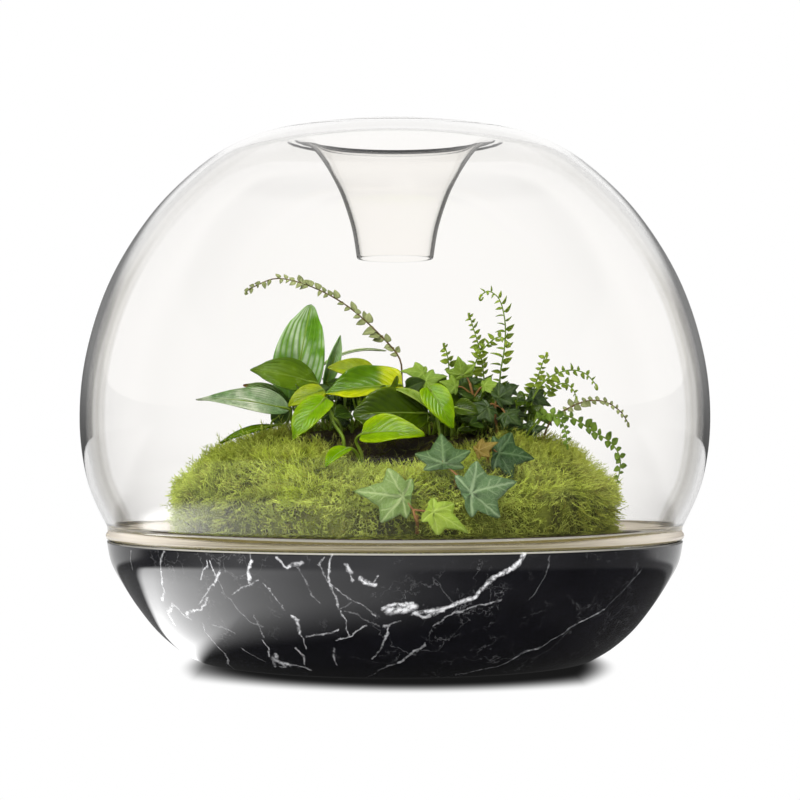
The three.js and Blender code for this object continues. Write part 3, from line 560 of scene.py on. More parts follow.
# Clear glass, a little darker where it is seen edge on
def glassMaterial():
    (material, shader), spot = newMaterial("clear_glass")
    tree = spot.tree
    facing = outputsOf(tree, addNode(tree, "LayerWeight", {"Blend": 0.5}))["Facing"]
    path = outputsOf(tree, addNode(tree, "LightPath"))
    x, height = spot.axes()[::2]
    band = facing.ranged(0.64, 0.675) * facing.ranged(0.8, 0.74) * height.ranged(0.225, 0.195, 0.3, 1)
    tint = band.mix((0.991, 0.983, 0.971, 1), (0.62, 0.6, 0.56, 1))
    tint = facing.ranged(0.9, 0.99).mix(tint, (0.8, 0.78, 0.75, 1))
    sheen = height.ranged(0.078, 0.1, 0.06, 0.5)
    # 0 on the funnel, whose own sheen is faint
    beyond = spot.vector("MULTIPLY", (1, 1, 0)).length().ranged(0.057, 0.068)
    front = height.ranged(0.105, 0.12, 0.28, 0.08)
    glint = (beyond * facing.ranged(0.5, 0.8, front, 0.6)).atLeast(height.ranged(0.258, 0.266, 0, 0.9))
    # The funnel's thin wall, its fold and the crown barely bend the light
    thin = beyond.flipped() * height.ranged(0.256, 0.268, 0.7, 0.97)
    thin = thin.atLeast(height.ranged(0.268, 0.282, 0, 0.8))
    setInputs(tree, shader, Base_Color=tint, Roughness=0, IOR=thin.times(-0.42, 1.47), Transmission_Weight=1,
              Specular_Tint=glint.mix(grey(0), grey(1)), Specular_IOR_Level=sheen * beyond.ranged(0, 1, 0.1, 1))
    # The thick foot's streaked, opaque colour is painted reflection, standing in for the light it bends and mirrors:
    # paler at the sides, darker brown along its bottom
    streaks = spot.vector("MULTIPLY", (18, 18, 900)).noise(1, 4)
    aside = abs(x).ranged(0.06, 0.14)
    paintedFootLight = streaks.ranged(0.3, 0.75).mix(rgb(92, 86, 68), rgb(152, 144, 122))
    paintedFootLight = (aside * 0.7).mix(paintedFootLight, rgb(222, 212, 200))
    paintedFootLight = height.ranged(0.0657, 0.0652).mix(paintedFootLight, rgb(104, 94, 54))
    foot = addNode(tree, "BsdfPrincipled", {"Base Color": paintedFootLight, "Roughness": 0.25, "Specular IOR Level": 0.3})
    low = (aside.times(0.0022, 0.0679) - height).ranged(0, 0.0008, 0, dome["paintedFootShare"])
    walled = addNode(tree, "MixShader", {0: low, 1: shader, 2: foot})
    # Light on its way to the plants goes straight through
    soft = path["Is Shadow Ray"].atLeast(path["Is Diffuse Ray"])
    clear = addNode(tree, "BsdfTransparent", {"Color": (0.975, 0.972, 0.965, 1)})
    showSurface(tree, addNode(tree, "MixShader", {0: soft, 1: walled, 2: clear}))
    return material


makePiece("dome_blown_glass", domeMesh(), [glassMaterial()], ["glass_dome", "glass_funnel"])


# Sheets and stalks, in millimetres until they are placed

def addSheet(bm, columns, rows, place, uvAt=None, material=0, thickness=0.0):
    uvLayer = bm.loops.layers.uv.verify()
    verts = bmesh.ops.create_grid(bm, x_segments=columns, y_segments=rows, size=1)["verts"]
    faces = list({face for vert in verts for face in vert.link_faces})
    for face in faces:
        face.material_index = material
        for loop in face.loops:
            spot = (loop.vert.co.x + 1) / 2, (loop.vert.co.y + 1) / 2
            loop[uvLayer].uv = uvAt(*spot) if uvAt else spot
    for vert in verts:
        vert.co = place((vert.co.x + 1) / 2, (vert.co.y + 1) / 2) * mm
    bmesh.ops.remove_doubles(bm, verts=verts, dist=2e-6)
    if thickness:
        bmesh.ops.solidify(bm, geom=[face for face in faces if face.is_valid], thickness=thickness * mm)


# Evenly spaced points on a smooth path
def pathPoints(points, count):
    fine = smoothLine(points, 12)
    lengths = [0.0]
    for a, b in zip(fine, fine[1:]):
        lengths.append(lengths[-1] + (b - a).length)
    spots, j = [], 0
    for i in range(count + 1):
        goal = lengths[-1] * i / count
        while j < len(fine) - 2 and lengths[j + 1] < goal:
            j += 1
        share = (goal - lengths[j]) / max(lengths[j + 1] - lengths[j], 1e-9)
        spots.append(fine[j].lerp(fine[j + 1], share))
    return spots


def addTube(bm, points, radiusAt, sides=8, material=0):
    line = [points[0], *points, points[-1]]
    rows = len(line) - 1

    def place(a, b):
        i = round(b * rows)
        k = min(max(i - 1, 0), len(points) - 1)
        run = points[min(k + 1, len(points) - 1)] - points[max(k - 1, 0)]
        side = run.cross(Vector((0.35, -0.9, 0.2))).normalized()
        up = side.cross(run).normalized()
        radius = 0 if i in (0, rows) else radiusAt(k / (len(points) - 1))
        turn = -2 * math.pi * a
        return line[i] + (side * math.cos(turn) + up * math.sin(turn)) * radius

    addSheet(bm, sides, rows, place, material=material)


# Mound of soil and moss

mound = {
    "radius": 124, "foot": 62, "rise": 64, "roundness": 3.1,
    "rootDepth": 15, "rootRise": 3, "rootShare": 0.55,  # how deep roots go, and where along them a stem starts
}


def bunRise(share):
    return mound["rise"] * math.sqrt(1 - share ** mound["roundness"])


def mossTop(x, y):
    share = min(math.hypot(x, y) / mound["radius"], 1)
    hollow = 18 * math.exp(-((x / 42) ** 2) - ((y + 70) / 34) ** 2)
    return mound["foot"] + max(bunRise(share) - hollow * min(1, 4 * (1 - share)), 0)


# Where a stem starts in the soil, and where it comes out of it
def footPath(ground, lean=(0, 0)):
    down = Vector((-lean[0], -lean[1], -mound["rootDepth"]))
    top = Vector((*ground, mossTop(*ground)))
    out = top - down * mound["rootRise"] / mound["rootDepth"]
    return [(top + down).lerp(out, mound["rootShare"]), out]


# Veins on a leaf. Across runs from -1 to 1, Along from 0 at the base to 1 at the tip
def buildLeafVeinGroup():
    takes = dict.fromkeys(["Across", "Along", "Count", "Sweep"], "Float")
    group, got, made = newGroup("leaf_veins", takes, ["Vein", "Swell", "Midrib"])
    side = abs(got["Across"])
    bent = got["Along"] - side.math("POWER", 1.25) * got["Sweep"]
    wave = (bent * got["Count"]).math("PINGPONG", 0.5)
    fill(group, made, {"Vein": wave.ranged(0.1, 0) * side.ranged(1, 0.75), "Swell": wave.ranged(0, 0.35),
                       "Midrib": side.ranged(0.055, 0.015)})
    return group


leafVeins = buildLeafVeinGroup()


# A leaf's finish: colours of middle and margin, mottled, with veins pressed in
def leafMaterial(name, middle, margin, vein, count=9, sweep=0.5, veinShare=0.5, stripesAndSheen=0,
                 stripeAndSheenColor=(160, 180, 160), gloss=0.28, edge=(0.45, 0.95), tip=None, lip=False):
    look, spot = newMaterial(name)
    u, along = coords(spot.tree, "UV").axes()[:2]
    across = u.times(2, -1)
    veins = useGroup(spot.tree, leafVeins, Across=across, Along=along, Count=count, Sweep=sweep)
    mottle, blotch = spot.noise(260, 4), spot.noise(70)
    outer = (abs(across) + blotch.times(0.5, -0.25)).ranged(*edge)
    if lip:  # the margin's colour lies along one side and round the base only
        outer = (across + blotch.times(0.3, -0.15)).ranged(*edge[::-1]).atLeast(along.ranged(0.34, 0.16))
    color = outer.mix(rgb(*middle), rgb(*margin))
    color = mottle.ranged(0.35, 0.7).mix(color.tinted((0.72, 0.76, 0.7, 1)), color)
    # Pale bands between the veins: painted sheen on the glossy leaves, and the striped leaf's own pale stripes
    if stripesAndSheen:
        broad = veins["Swell"] * blotch.ranged(0.3, 0.6) * along.ranged(0.15, 0.5, 0.15, 1)
        color = (broad * stripesAndSheen).mix(color, rgb(*stripeAndSheenColor))
    color = (veins["Vein"] * veinShare).mix(color, rgb(*vein))
    color = (veins["Midrib"] * 0.8).mix(color, rgb(*vein))
    if tip:
        color = along.ranged(0.86, 0.97).mix(color, rgb(*tip))
    height = veins["Swell"] + mottle * 0.25 - veins["Midrib"] * 0.7
    rough = mottle.ranged(0.3, 0.8, gloss - 0.08, gloss + 0.03)
    return finishLook(look, color, 0.25, Roughness=rough, Specular_IOR_Level=0.4,
                      Normal=height.bump(0.55, 0.0004))


def stemMaterial(name, low, high, rough=0.45):
    look, spot = newMaterial(name)
    grain = spot.noise(420, 4)
    color = grain.times(0.5, spot.noise(60, 2) * 0.5).mix(rgb(*low), rgb(*high))
    return finishLook(look, color, Roughness=rough, Normal=grain.bump(0.4, 0.0003))


greenStem = stemMaterial("green_stem", (60, 85, 10), (125, 150, 35))
redStem = stemMaterial("reddish_stem", (95, 60, 30), (150, 110, 60))
woodStem = stemMaterial("woody_stem", (50, 38, 18), (105, 85, 45), 0.7)


# Broad leaves, each on its stalk

# Half a leaf's width along it, from 0 at the base to 1 at the tip
outlines = {
    "lance": lambda v: math.sin(math.pi * v ** 0.8) ** 0.9,
    "heart": lambda v: math.sin(math.pi * v ** 0.62) ** 0.75,
    "strap": lambda v: min(1, 6 * v) * (1 - v ** 4) ** 0.8,
    "spoon": lambda v: math.sin(math.pi * v ** 0.9) ** 0.6,
    "full": lambda v: math.sin(math.pi * v ** 0.74) ** 0.62,
    "drawn": lambda v: math.sin(math.pi * v ** 0.55) ** 1.2,
}


# A point of the curved blade: u from -1 to 1 across, v from 0 to 1 along its midrib
def bladePoint(leaf, u, v):
    base, tip, face = Vector(leaf["base"]), Vector(leaf["tip"]), Vector(leaf["face"]).normalized()
    width, arch = leaf["width"], leaf.get("arch", 0)
    middle = base.lerp(tip, 0.5) + face * 2 * arch
    v = min(max(v, 0.0), 1.0)
    spot = base * (1 - v) ** 2 + middle * 2 * v * (1 - v) + tip * v * v
    forward = ((middle - base) * (1 - v) + (tip - middle) * v).normalized()
    side = forward.cross(face).normalized()
    up = side.cross(forward).normalized()
    half = width / 2 * max(outlines[leaf.get("outline", "lance")](v), 0.0)
    near = max(0.0, (v - 0.8) / 0.2)  # 0 to 1 along the last fifth
    half *= 1 - 0.25 * near * (1 - near) * 2
    lift = leaf.get("cup", 0) * half * u * u
    lift += leaf.get("wave", 0) * math.sin(3 * math.pi * v + 2 * u) * u * u
    ribs = math.cos(2 * math.pi * leaf.get("count", 8) * (v - leaf.get("sweep", 0.45) * abs(u) ** 1.25))
    relief = -leaf.get("relief", 0.2) * ribs * abs(u) * (1 - u ** 4) - 0.35 * math.exp(-(u / 0.07) ** 2)
    back = leaf.get("lobes", 0) * width * abs(u) ** 1.5 * (1 - v) ** 3 * min(1, 12 * v)
    return spot + side * half * u + up * (lift + relief) * min(1, half) - forward * back


def growLeaf(name, leaf, look):
    bm = bmesh.new()
    addSheet(bm, leaf.get("fineAcross", 20), 40, lambda a, b: bladePoint(leaf, 2 * a - 1, b), thickness=0.45)
    via = [Vector(point) for point in leaf.get("via", [])]
    inside = bladePoint(leaf, 0, 0.14)
    stalk = pathPoints([*footPath(leaf["ground"]), *via, Vector(leaf["base"]), inside], 22)
    addTube(bm, stalk, lambda t: 0.95 * (1.15 - 0.5 * t), material=1)
    midrib = [bladePoint(leaf, 0, 0.02 + 0.9 * i / 14) for i in range(15)]
    addTube(bm, midrib, lambda t: 0.5 * (1 - t) + 0.08, 6, 1)
    return makePiece(name + "_fine", bm, [look, greenStem], [name])


lilyLooks = {
    "upright": leafMaterial("lily_upright", (88, 136, 30), (104, 156, 40), (150, 185, 80), 2.4, 1.75, 0.4,
                            0.55, (222, 234, 208), 0.16),
    "broad": leafMaterial("lily_broad", (86, 114, 2), (76, 106, 2), (120, 146, 14), 2.4, 1.7, 0.3,
                          0.06, (130, 156, 20), 0.28),
    "striped": leafMaterial("lily_striped", (84, 124, 64), (112, 144, 88), (222, 226, 200), 2.6, 2.4, 0.6,
                            0.95, (236, 236, 216), 0.3),
    "low": leafMaterial("lily_low", (76, 112, 24), (92, 126, 34), (135, 165, 80), 2.4, 1.6, 0.35,
                        0.3, (190, 205, 165), 0.3, tip=(96, 62, 20)),
    "dark": leafMaterial("lily_dark", (44, 66, 10), (62, 84, 14), (90, 115, 40), 3, 1.6, 0.3, gloss=0.4),
}

lilyLeaves = {
    "lily_leaf_upright": dict(ground=(-54, 20), via=[(-54, 17, 131)], base=(-56.5, 14, 136),
        tip=(-46.4, 10, 192.8), width=29, face=(-0.15, -1, 0.2), arch=3, cup=0.25, outline="full",
        count=2.4, sweep=1.75, relief=0.3, look="upright"),
    "lily_leaf_broad": dict(ground=(-47, 6), via=[(-42, 2, 140)], base=(-42, -2, 148), tip=(-79, -6, 156),
        width=21, face=(0.2, -0.85, 0.55), arch=2.5, cup=0.2, count=2.4, sweep=1.7, look="broad"),
    "lily_leaf_striped": dict(ground=(-53, -8), via=[(-56, -10, 128)], base=(-57, -14, 134),
        tip=(-107, -20, 139.6), width=17.5, face=(-0.1, -0.75, 0.65), outline="drawn", arch=3.5, cup=0.3,
        count=2.2, sweep=2.4, relief=0.25, look="striped"),
    "lily_leaf_low": dict(ground=(-60, 8), via=[(-58, 5, 130)], base=(-57, 2, 135), tip=(-83, -2, 148),
        width=13, face=(0.1, -0.7, 0.7), arch=2, cup=0.25, count=2.4, sweep=1.6, look="low"),
    "lily_leaf_rolled": dict(ground=(-45, 16), via=[(-41, 11, 136)], base=(-39, 8, 146),
        tip=(-30, 6, 175.5), width=7, face=(0.3, -1, 0.1), arch=1, cup=0.9, count=2.6, sweep=1.7,
        look="upright"),
    "lily_leaf_creeping": dict(ground=(-60, -16), base=(-65, -18, 125.5), tip=(-93, -30, 116.5), width=6.5,
        face=(0.1, -0.5, 0.85), arch=1.6, cup=0.2, look="broad"),
    "lily_leaf_young": dict(ground=(-70, 22), base=(-68.5, 19, 128), tip=(-58.5, 16, 136), width=10,
        face=(0.1, -1, 0.2), arch=0.5, cup=0.2, outline="spoon", look="dark"),
}

pothosLooks = {
    "top": leafMaterial("pothos_top", (84, 122, 3), (182, 192, 4), (128, 152, 14), 8, 0.45, 0.2,
                        edge=(-0.42, 0.02), gloss=0.22, lip=True),
    "yellow": leafMaterial("pothos_yellow", (134, 152, 2), (150, 164, 4), (170, 184, 16), 7, 0.45, 0.2, gloss=0.35),
    "green": leafMaterial("pothos_green", (110, 152, 6), (132, 166, 12), (146, 176, 34), 8, 0.45, 0.25, gloss=0.15),
    # 'deep' is a darker copy of the pothos green, for the hanging leaf's shaded face and other leaves in shade:
    # painted shade
    "deep": leafMaterial("pothos_deep", (60, 80, 1), (76, 98, 2), (68, 88, 4), 8, 0.45, 0.15,
                         edge=(0.6, 0.98), gloss=0.24),
    "lime": leafMaterial("pothos_lime", (116, 152, 2), (146, 176, 5), (150, 180, 20), 8, 0.45, 0.25, gloss=0.15),
    "pale": leafMaterial("pothos_pale", (124, 152, 44), (162, 184, 80), (184, 202, 120), 8, 0.45, 0.4, gloss=0.34),
}

pothosLeaves = {
    "pothos_leaf_top": dict(ground=(-4, -20), via=[(1, -18, 138)], base=(4, -21, 146.5),
        tip=(-38, -29, 142), width=26, face=(0, -0.7, 0.75), arch=2.5, cup=0.35, wave=1.3, lobes=0.15,
        look="top"),
    "pothos_leaf_back": dict(ground=(-14, 0), via=[(-12, 1, 142)], base=(-11, 1, 153), tip=(-37, 0, 157.5),
        width=15, face=(0, -0.75, 0.65), arch=1.5, cup=0.3, look="yellow"),
    "pothos_leaf_hanging": dict(ground=(16, -28), via=[(20, -34, 129)], base=(17, -44, 131.5),
        tip=(-22, -52, 130.8), width=26, face=(-0.1, -1, 0.35), arch=2.5, cup=0.2, wave=0.8, lobes=0.1,
        outline="spoon", look="deep"),
    "pothos_leaf_front": dict(ground=(-17, -62), via=[(-20, -62, 117)], base=(-17, -66, 120.5),
        tip=(15.5, -72, 120), width=18.5, face=(0, -0.75, 0.65), arch=3, cup=0.3, wave=0.6, lobes=0.12,
        look="lime"),
    "pothos_leaf_rim": dict(ground=(25, -26), via=[(24, -36, 129)], base=(19.5, -45, 133),
        tip=(0.5, -47, 144.5), width=7.5, face=(0.6, -0.55, 0.6), arch=2.5, cup=0.2, outline="spoon",
        look="pale"),
    "pothos_leaf_right": dict(ground=(24, -50), via=[(21, -48, 134)], base=(17, -52, 145.5),
        tip=(30, -60, 123), width=15, face=(0.15, -1, 0.3), arch=3, cup=0.15, wave=0.5, lobes=0.12,
        look="green"),
    "pothos_leaf_small": dict(ground=(30, -36), via=[(30, -37, 126)], base=(31.5, -40, 134.5),
        tip=(44, -42, 131.5), width=11, face=(0, -0.8, 0.6), arch=1, cup=0.4, look="deep"),
    "pothos_leaf_yellow": dict(ground=(-29, -30), via=[(-34, -27, 132)], base=(-38, -26, 144),
        tip=(-57, -30, 135.5), width=13, face=(-0.3, -0.8, 0.55), arch=2.5, cup=0.1, lobes=0.1,
        look="yellow"),
    "pothos_leaf_left": dict(ground=(-27, -48), via=[(-33, -43, 128)], base=(-36, -41, 139.5),
        tip=(-53, -54, 117.5), width=17, face=(-0.35, -1, 0.45), arch=3.5, cup=0.15, wave=0.6, lobes=0.12,
        look="green"),
    "pothos_leaf_dropping": dict(ground=(-17, -80), via=[(-20, -89, 112)], base=(-23, -94, 113.5),
        tip=(-34, -108, 104.5), width=9, face=(-0.3, -0.8, 0.6), arch=2, cup=0.3, look="green"),
}

strapLook = leafMaterial("strap_striped", (92, 118, 52), (190, 200, 160), (210, 215, 185), 2, 0, 0,
                         edge=(0.3, 0.7), gloss=0.4)
strapLeaf = dict(ground=(-50, 33), via=[(-49, 32, 146)], base=(-45, 30, 157), tip=(-5, 26, 168), width=4,
    face=(-0.25, -0.4, 1), arch=5, cup=0.2, outline="strap", fineAcross=8)

for name, leaf in lilyLeaves.items():
    growLeaf(name, leaf, lilyLooks[leaf["look"]])
growLeaf("strap_leaf", strapLeaf, strapLook)
for name, leaf in pothosLeaves.items():
    growLeaf(name, {"outline": "heart", **leaf}, pothosLooks[leaf["look"]])


# Lobed ivy leaves on their stems

ivyLobes = [(0, 1), (10, 0.72), (28, 0.51), (44, 0.57), (57, 0.7), (75, 0.46), (90, 0.34), (108, 0.45),
            (150, 0.2), (180, 0.17)]


def ivyReach(angle):
    angle = abs(angle)
    for (a, near), (b, far) in zip(ivyLobes, ivyLobes[1:]):
        if a <= angle <= b:
            return near + (far - near) * (angle - a) / (b - a)
    return ivyLobes[-1][1]


def addIvyLeaf(bm, plan, material=0):
    heart, tip = Vector(plan["heart"]), Vector(plan["tip"])
    reach = (tip - heart).length
    forward = (tip - heart).normalized()
    side = forward.cross(Vector(plan["face"])).normalized()
    up = side.cross(forward).normalized()
    spread = plan.get("spread", 1)

    def spot(a, b):
        angle = (1 - a) * 360 - 180
        share = ivyReach(angle) * b
        return angle, share

    def place(a, b):
        angle, share = spot(a, b)
        turn = math.radians(angle)
        rib = max(math.cos(math.radians(angle * 360 / 57)), 0) if abs(angle) < 130 else 0
        sink = -0.035 * reach * rib ** 6 * b * (1 - 0.6 * b)
        rise = sink - 0.15 * reach * share * share + 0.02 * reach * math.sin(5 * turn + 3 * share)
        return (heart + forward * reach * share * math.cos(turn) + side * reach * share * spread * math.sin(turn)
                + up * rise)

    def uvAt(a, b):
        angle, share = spot(a, b)
        turn = math.radians(angle)
        return 0.5 + 0.5 * share * math.sin(turn), 0.5 + 0.5 * share * math.cos(turn)

    addSheet(bm, 72, 6, place, uvAt, material, 0.4)


def ivyMaterial(name, low, high, vein, veinShare=0.4):
    look, spot = newMaterial(name)
    uv = coords(spot.tree, "UV").vector("MULTIPLY_ADD", (2, 2, 0), (-1, -1, 0))
    fine, broad = spot.noise(300, 4), spot.noise(55)
    loose = uv.vector("ADD", (-0.03, -0.03, 0))
    loose = uv.noise(6, 2, "Color").vector("MULTIPLY_ADD", (0.06, 0.06, 0), loose)
    mask = 0
    for angle, far in [(0, 0.9), (57, 0.66), (-57, 0.66), (108, 0.4), (-108, 0.4)]:
        turn = math.radians(angle)
        mask = addVein(loose, (0, 0, 0), (far * math.sin(turn), far * math.cos(turn), 0), 0.042, 1, mask)
    for angle, at, away in [(0, 0.3, 40), (0, 0.5, 34), (57, 0.3, 38), (-57, 0.3, 38)]:
        for hand in (1, -1):
            start = Vector((math.sin(math.radians(angle)), math.cos(math.radians(angle)), 0)) * at
            turn = math.radians(angle + hand * away)
            end = start + Vector((math.sin(turn), math.cos(turn), 0)) * 0.24
            mask = addVein(loose, start, end, 0.024, 0.6, mask)
    net = loose.cracks(9).ranged(0.06, 0)
    color = broad.times(1.4, -0.2, clamp=True).mix(rgb(*low), rgb(*high))
    color = (net * 0.16).mix(color, rgb(*vein))
    color = (mask * veinShare).mix(color, rgb(*vein))
    height = fine * 0.4 - net.times(0.4, mask)
    return finishLook(look, color, 0.2, Roughness=fine.ranged(0.3, 0.8, 0.4, 0.55),
                      Normal=height.bump(0.5, 0.0004))


ivyLooks = {
    "front": ivyMaterial("ivy_front_green", (84, 114, 44), (118, 142, 74), (190, 204, 150), 0.42),
    "right": ivyMaterial("ivy_right_green", (62, 92, 54), (92, 119, 74), (172, 192, 150), 0.45),
    # 'upper' and 'dark' are darker copies of the ivy's green, for leaves in shade: painted shade
    "upper": ivyMaterial("ivy_upper_green", (48, 76, 38), (72, 98, 52), (140, 164, 116)),
    "deep": ivyMaterial("ivy_deep", (34, 60, 30), (56, 84, 42), (120, 146, 100)),
    "dark": ivyMaterial("ivy_dark", (28, 46, 14), (50, 72, 22), (96, 118, 56), 0.35),
    "young": ivyMaterial("ivy_young", (104, 80, 28), (128, 118, 44), (160, 140, 70)),
    "lime": ivyMaterial("ivy_lime", (112, 145, 30), (152, 172, 60), (182, 200, 110)),
    "light": ivyMaterial("ivy_light", (88, 122, 24), (126, 152, 44), (165, 188, 90)),
}

ivyStems = {
    "ivy_front": dict(ground=(11, -121), lean=(0, -8), via=[(10.5, -129, 79), (9, -128, 84)],
        leaves=[dict(heart=(4, -126, 90), tip=(-19.5, -127, 93.5), face=(0, -1, 0.3), rise=0, look="front"),
        dict(heart=(18.5, -129, 83), tip=(36, -130, 74), face=(0.1, -1, 0.3), rise=0, spread=0.8,
        look="lime")]),
    "ivy_right": dict(ground=(30, -107), lean=(0, -8), via=[(32, -118, 99), (34, -122, 94)],
        leaves=[dict(heart=(37, -123, 91.7), tip=(61, -114, 98.5), face=(0.15, -1, 0.35), rise=0,
        look="right"), dict(start=(31.7, -116, 99.3), heart=(24, -113, 106), tip=(23, -104, 122),
        face=(0, -1, 0.5), rise=0, spread=1.3, look="upper")]),
    "ivy_far": dict(ground=(47, -82), lean=(0, -5), via=[(49, -90, 114), (50, -92, 112)],
        leaves=[dict(heart=(52, -92, 111), tip=(71, -88, 109), face=(0.1, -1, 0.4), rise=0, spread=1.1,
        look="deep"), dict(start=(49, -90, 114), heart=(42, -94, 112), tip=(51, -96, 117),
        face=(0, -0.8, 0.6), rise=0, look="young")]),
    "ivy_tall": dict(ground=(40, -22), via=[(42, -24, 138), (40, -25, 148)],
        leaves=[dict(heart=(36, -27, 152.5), tip=(33.5, -30, 162), face=(-0.2, -1, 0.5), spread=1.4,
        look="light"), dict(start=(41, -24, 142), heart=(32, -29, 146), tip=(24, -32, 149),
        face=(0, -1, 0.5), spread=1.2, look="light"), dict(start=(42, -24, 140), heart=(48, -25, 146.5),
        tip=(57, -27, 148), face=(0.2, -0.9, 0.6), look="light")]),
    "ivy_pale": dict(ground=(15, -9), via=[(16, -8, 140), (16, -8, 148)], leaves=[dict(heart=(15, -8, 154),
        tip=(3, -9, 156), face=(0, -0.8, 0.7), spread=1.1, look="light"), dict(heart=(17, -12, 150),
        tip=(28, -14, 153), face=(0, -0.8, 0.6), look="light")]),
    "ivy_shaded": dict(ground=(54, -34), via=[(53, -35, 130), (53, -35, 136)],
        leaves=[dict(heart=(55, -37, 140), tip=(65, -39, 147), face=(0.1, -0.9, 0.5), spread=1.1,
        look="dark"), dict(heart=(49, -40, 134.5), tip=(40, -44, 127), face=(0, -1, 0.4), spread=1.1,
        look="dark"), dict(heart=(58.5, -40, 131), tip=(67, -44, 125), face=(0.1, -1, 0.4), spread=1.1,
        look="dark")]),
}


def growIvy(name, plan):
    bm = bmesh.new()
    looks = sorted({leaf["look"] for leaf in plan["leaves"]})
    via = [Vector(point) for point in plan["via"]]
    stem = pathPoints([*footPath(plan["ground"], plan.get("lean", (0, 0))), *via], 16)
    addTube(bm, stem, lambda t: 0.95 - 0.3 * t)
    for leaf in plan["leaves"]:
        start, heart = Vector(leaf.get("start", plan["via"][-1])), Vector(leaf["heart"])
        bend = start.lerp(heart, 0.55) + Vector((0, 0, leaf.get("rise", 1.5)))
        inside = heart.lerp(Vector(leaf["tip"]), 0.12)
        addTube(bm, pathPoints([start, bend, heart, inside], 10), lambda t: 0.55 - 0.15 * t, 6)
        addIvyLeaf(bm, leaf, 1 + looks.index(leaf["look"]))
    return makePiece(name + "_fine", bm, [redStem, *[ivyLooks[look] for look in looks]], [name])


for name, plan in ivyStems.items():
    growIvy(name, plan)


# Thin stems and small leaves that fill the middle of the planting, coloured dark as painted shade

undergrowth = {
    "left": dict(stems=110, leaves=100, seed=77, middle=(-5, -8), reach=(45, 20)),
    "right": dict(stems=100, leaves=90, seed=78, middle=(50, -12), reach=(25, 24)),
}


def growUndergrowth(name, plan):
    bm = bmesh.new()
    draw = random.Random(plan["seed"])
    (midX, midY), (wide, deep) = plan["middle"], plan["reach"]
    for i in range(plan["stems"]):
        x, y = midX + wide * draw.uniform(-1, 1), midY + deep * draw.uniform(-1, 1)
        top = mossTop(x, y)
        lean = Vector((draw.uniform(-7, 7), draw.uniform(-5, 3), 0))
        rise = draw.uniform(8, 24) * (1 if y > -24 else 0.5)
        points = [Vector((x, y, top - 5)), Vector((x, y, top + 2)) + lean * 0.2, Vector((x, y, top + rise)) + lean]
        addTube(bm, pathPoints(points, 8), lambda t: 0.75 - 0.3 * t, 5)
        if i < plan["leaves"]:
            tip = points[-1] + Vector((draw.uniform(-11, 11), draw.uniform(-7, 1), draw.uniform(-6, 5)))
            leaf = {"base": points[-1], "tip": tip, "face": (draw.uniform(-0.4, 0.4), -0.8, draw.uniform(0.2, 0.9)),
                    "width": draw.uniform(7, 12), "arch": 1.2, "cup": 0.25, "outline": "heart"}
            if i % 3:
                addSheet(bm, 6, 8, lambda a, b: bladePoint(leaf, 2 * a - 1, b), material=i % 3, thickness=0.4)
            else:
                addIvyLeaf(bm, {"heart": points[-1], "tip": tip, "face": leaf["face"]}, 3)
    # Dark copies of the leaf greens: painted shade
    looks = [greenStem, lilyLooks["dark"], pothosLooks["deep"], ivyLooks["dark"]]
    return makePiece("undergrowth_" + name, bm, looks)


for name, plan in undergrowth.items():
    growUndergrowth(name, plan)


# Button fern: round leaflets in turn along thin ribs, and a curled bud at each tip

def fernMaterial(name, low, high, gloss=0.4):
    look, spot = newMaterial(name)
    u, along = coords(spot.tree, "UV").axes()[:2]
    veins = useGroup(spot.tree, leafVeins, Across=u.times(2, -1), Along=along, Count=5, Sweep=0.5)
    color = spot.noise(120).times(2, -0.5, clamp=True).mix(rgb(*low), rgb(*high))
    color = (veins["Midrib"] * 0.4).mix(color, rgb(*[min(c + 50, 255) for c in high]))
    height = veins["Swell"] + spot.noise(700) * 0.4
    return finishLook(look, color, 0.25, Roughness=gloss, Normal=height.bump(0.4, 0.0003))


fernLooks = {
    "bright": fernMaterial("fern_bright", (88, 114, 22), (150, 170, 54)),
    "grey": fernMaterial("fern_grey", (92, 102, 52), (158, 166, 112), 0.5),
    "deep": fernMaterial("fern_deep", (70, 98, 24), (118, 146, 44)),
}

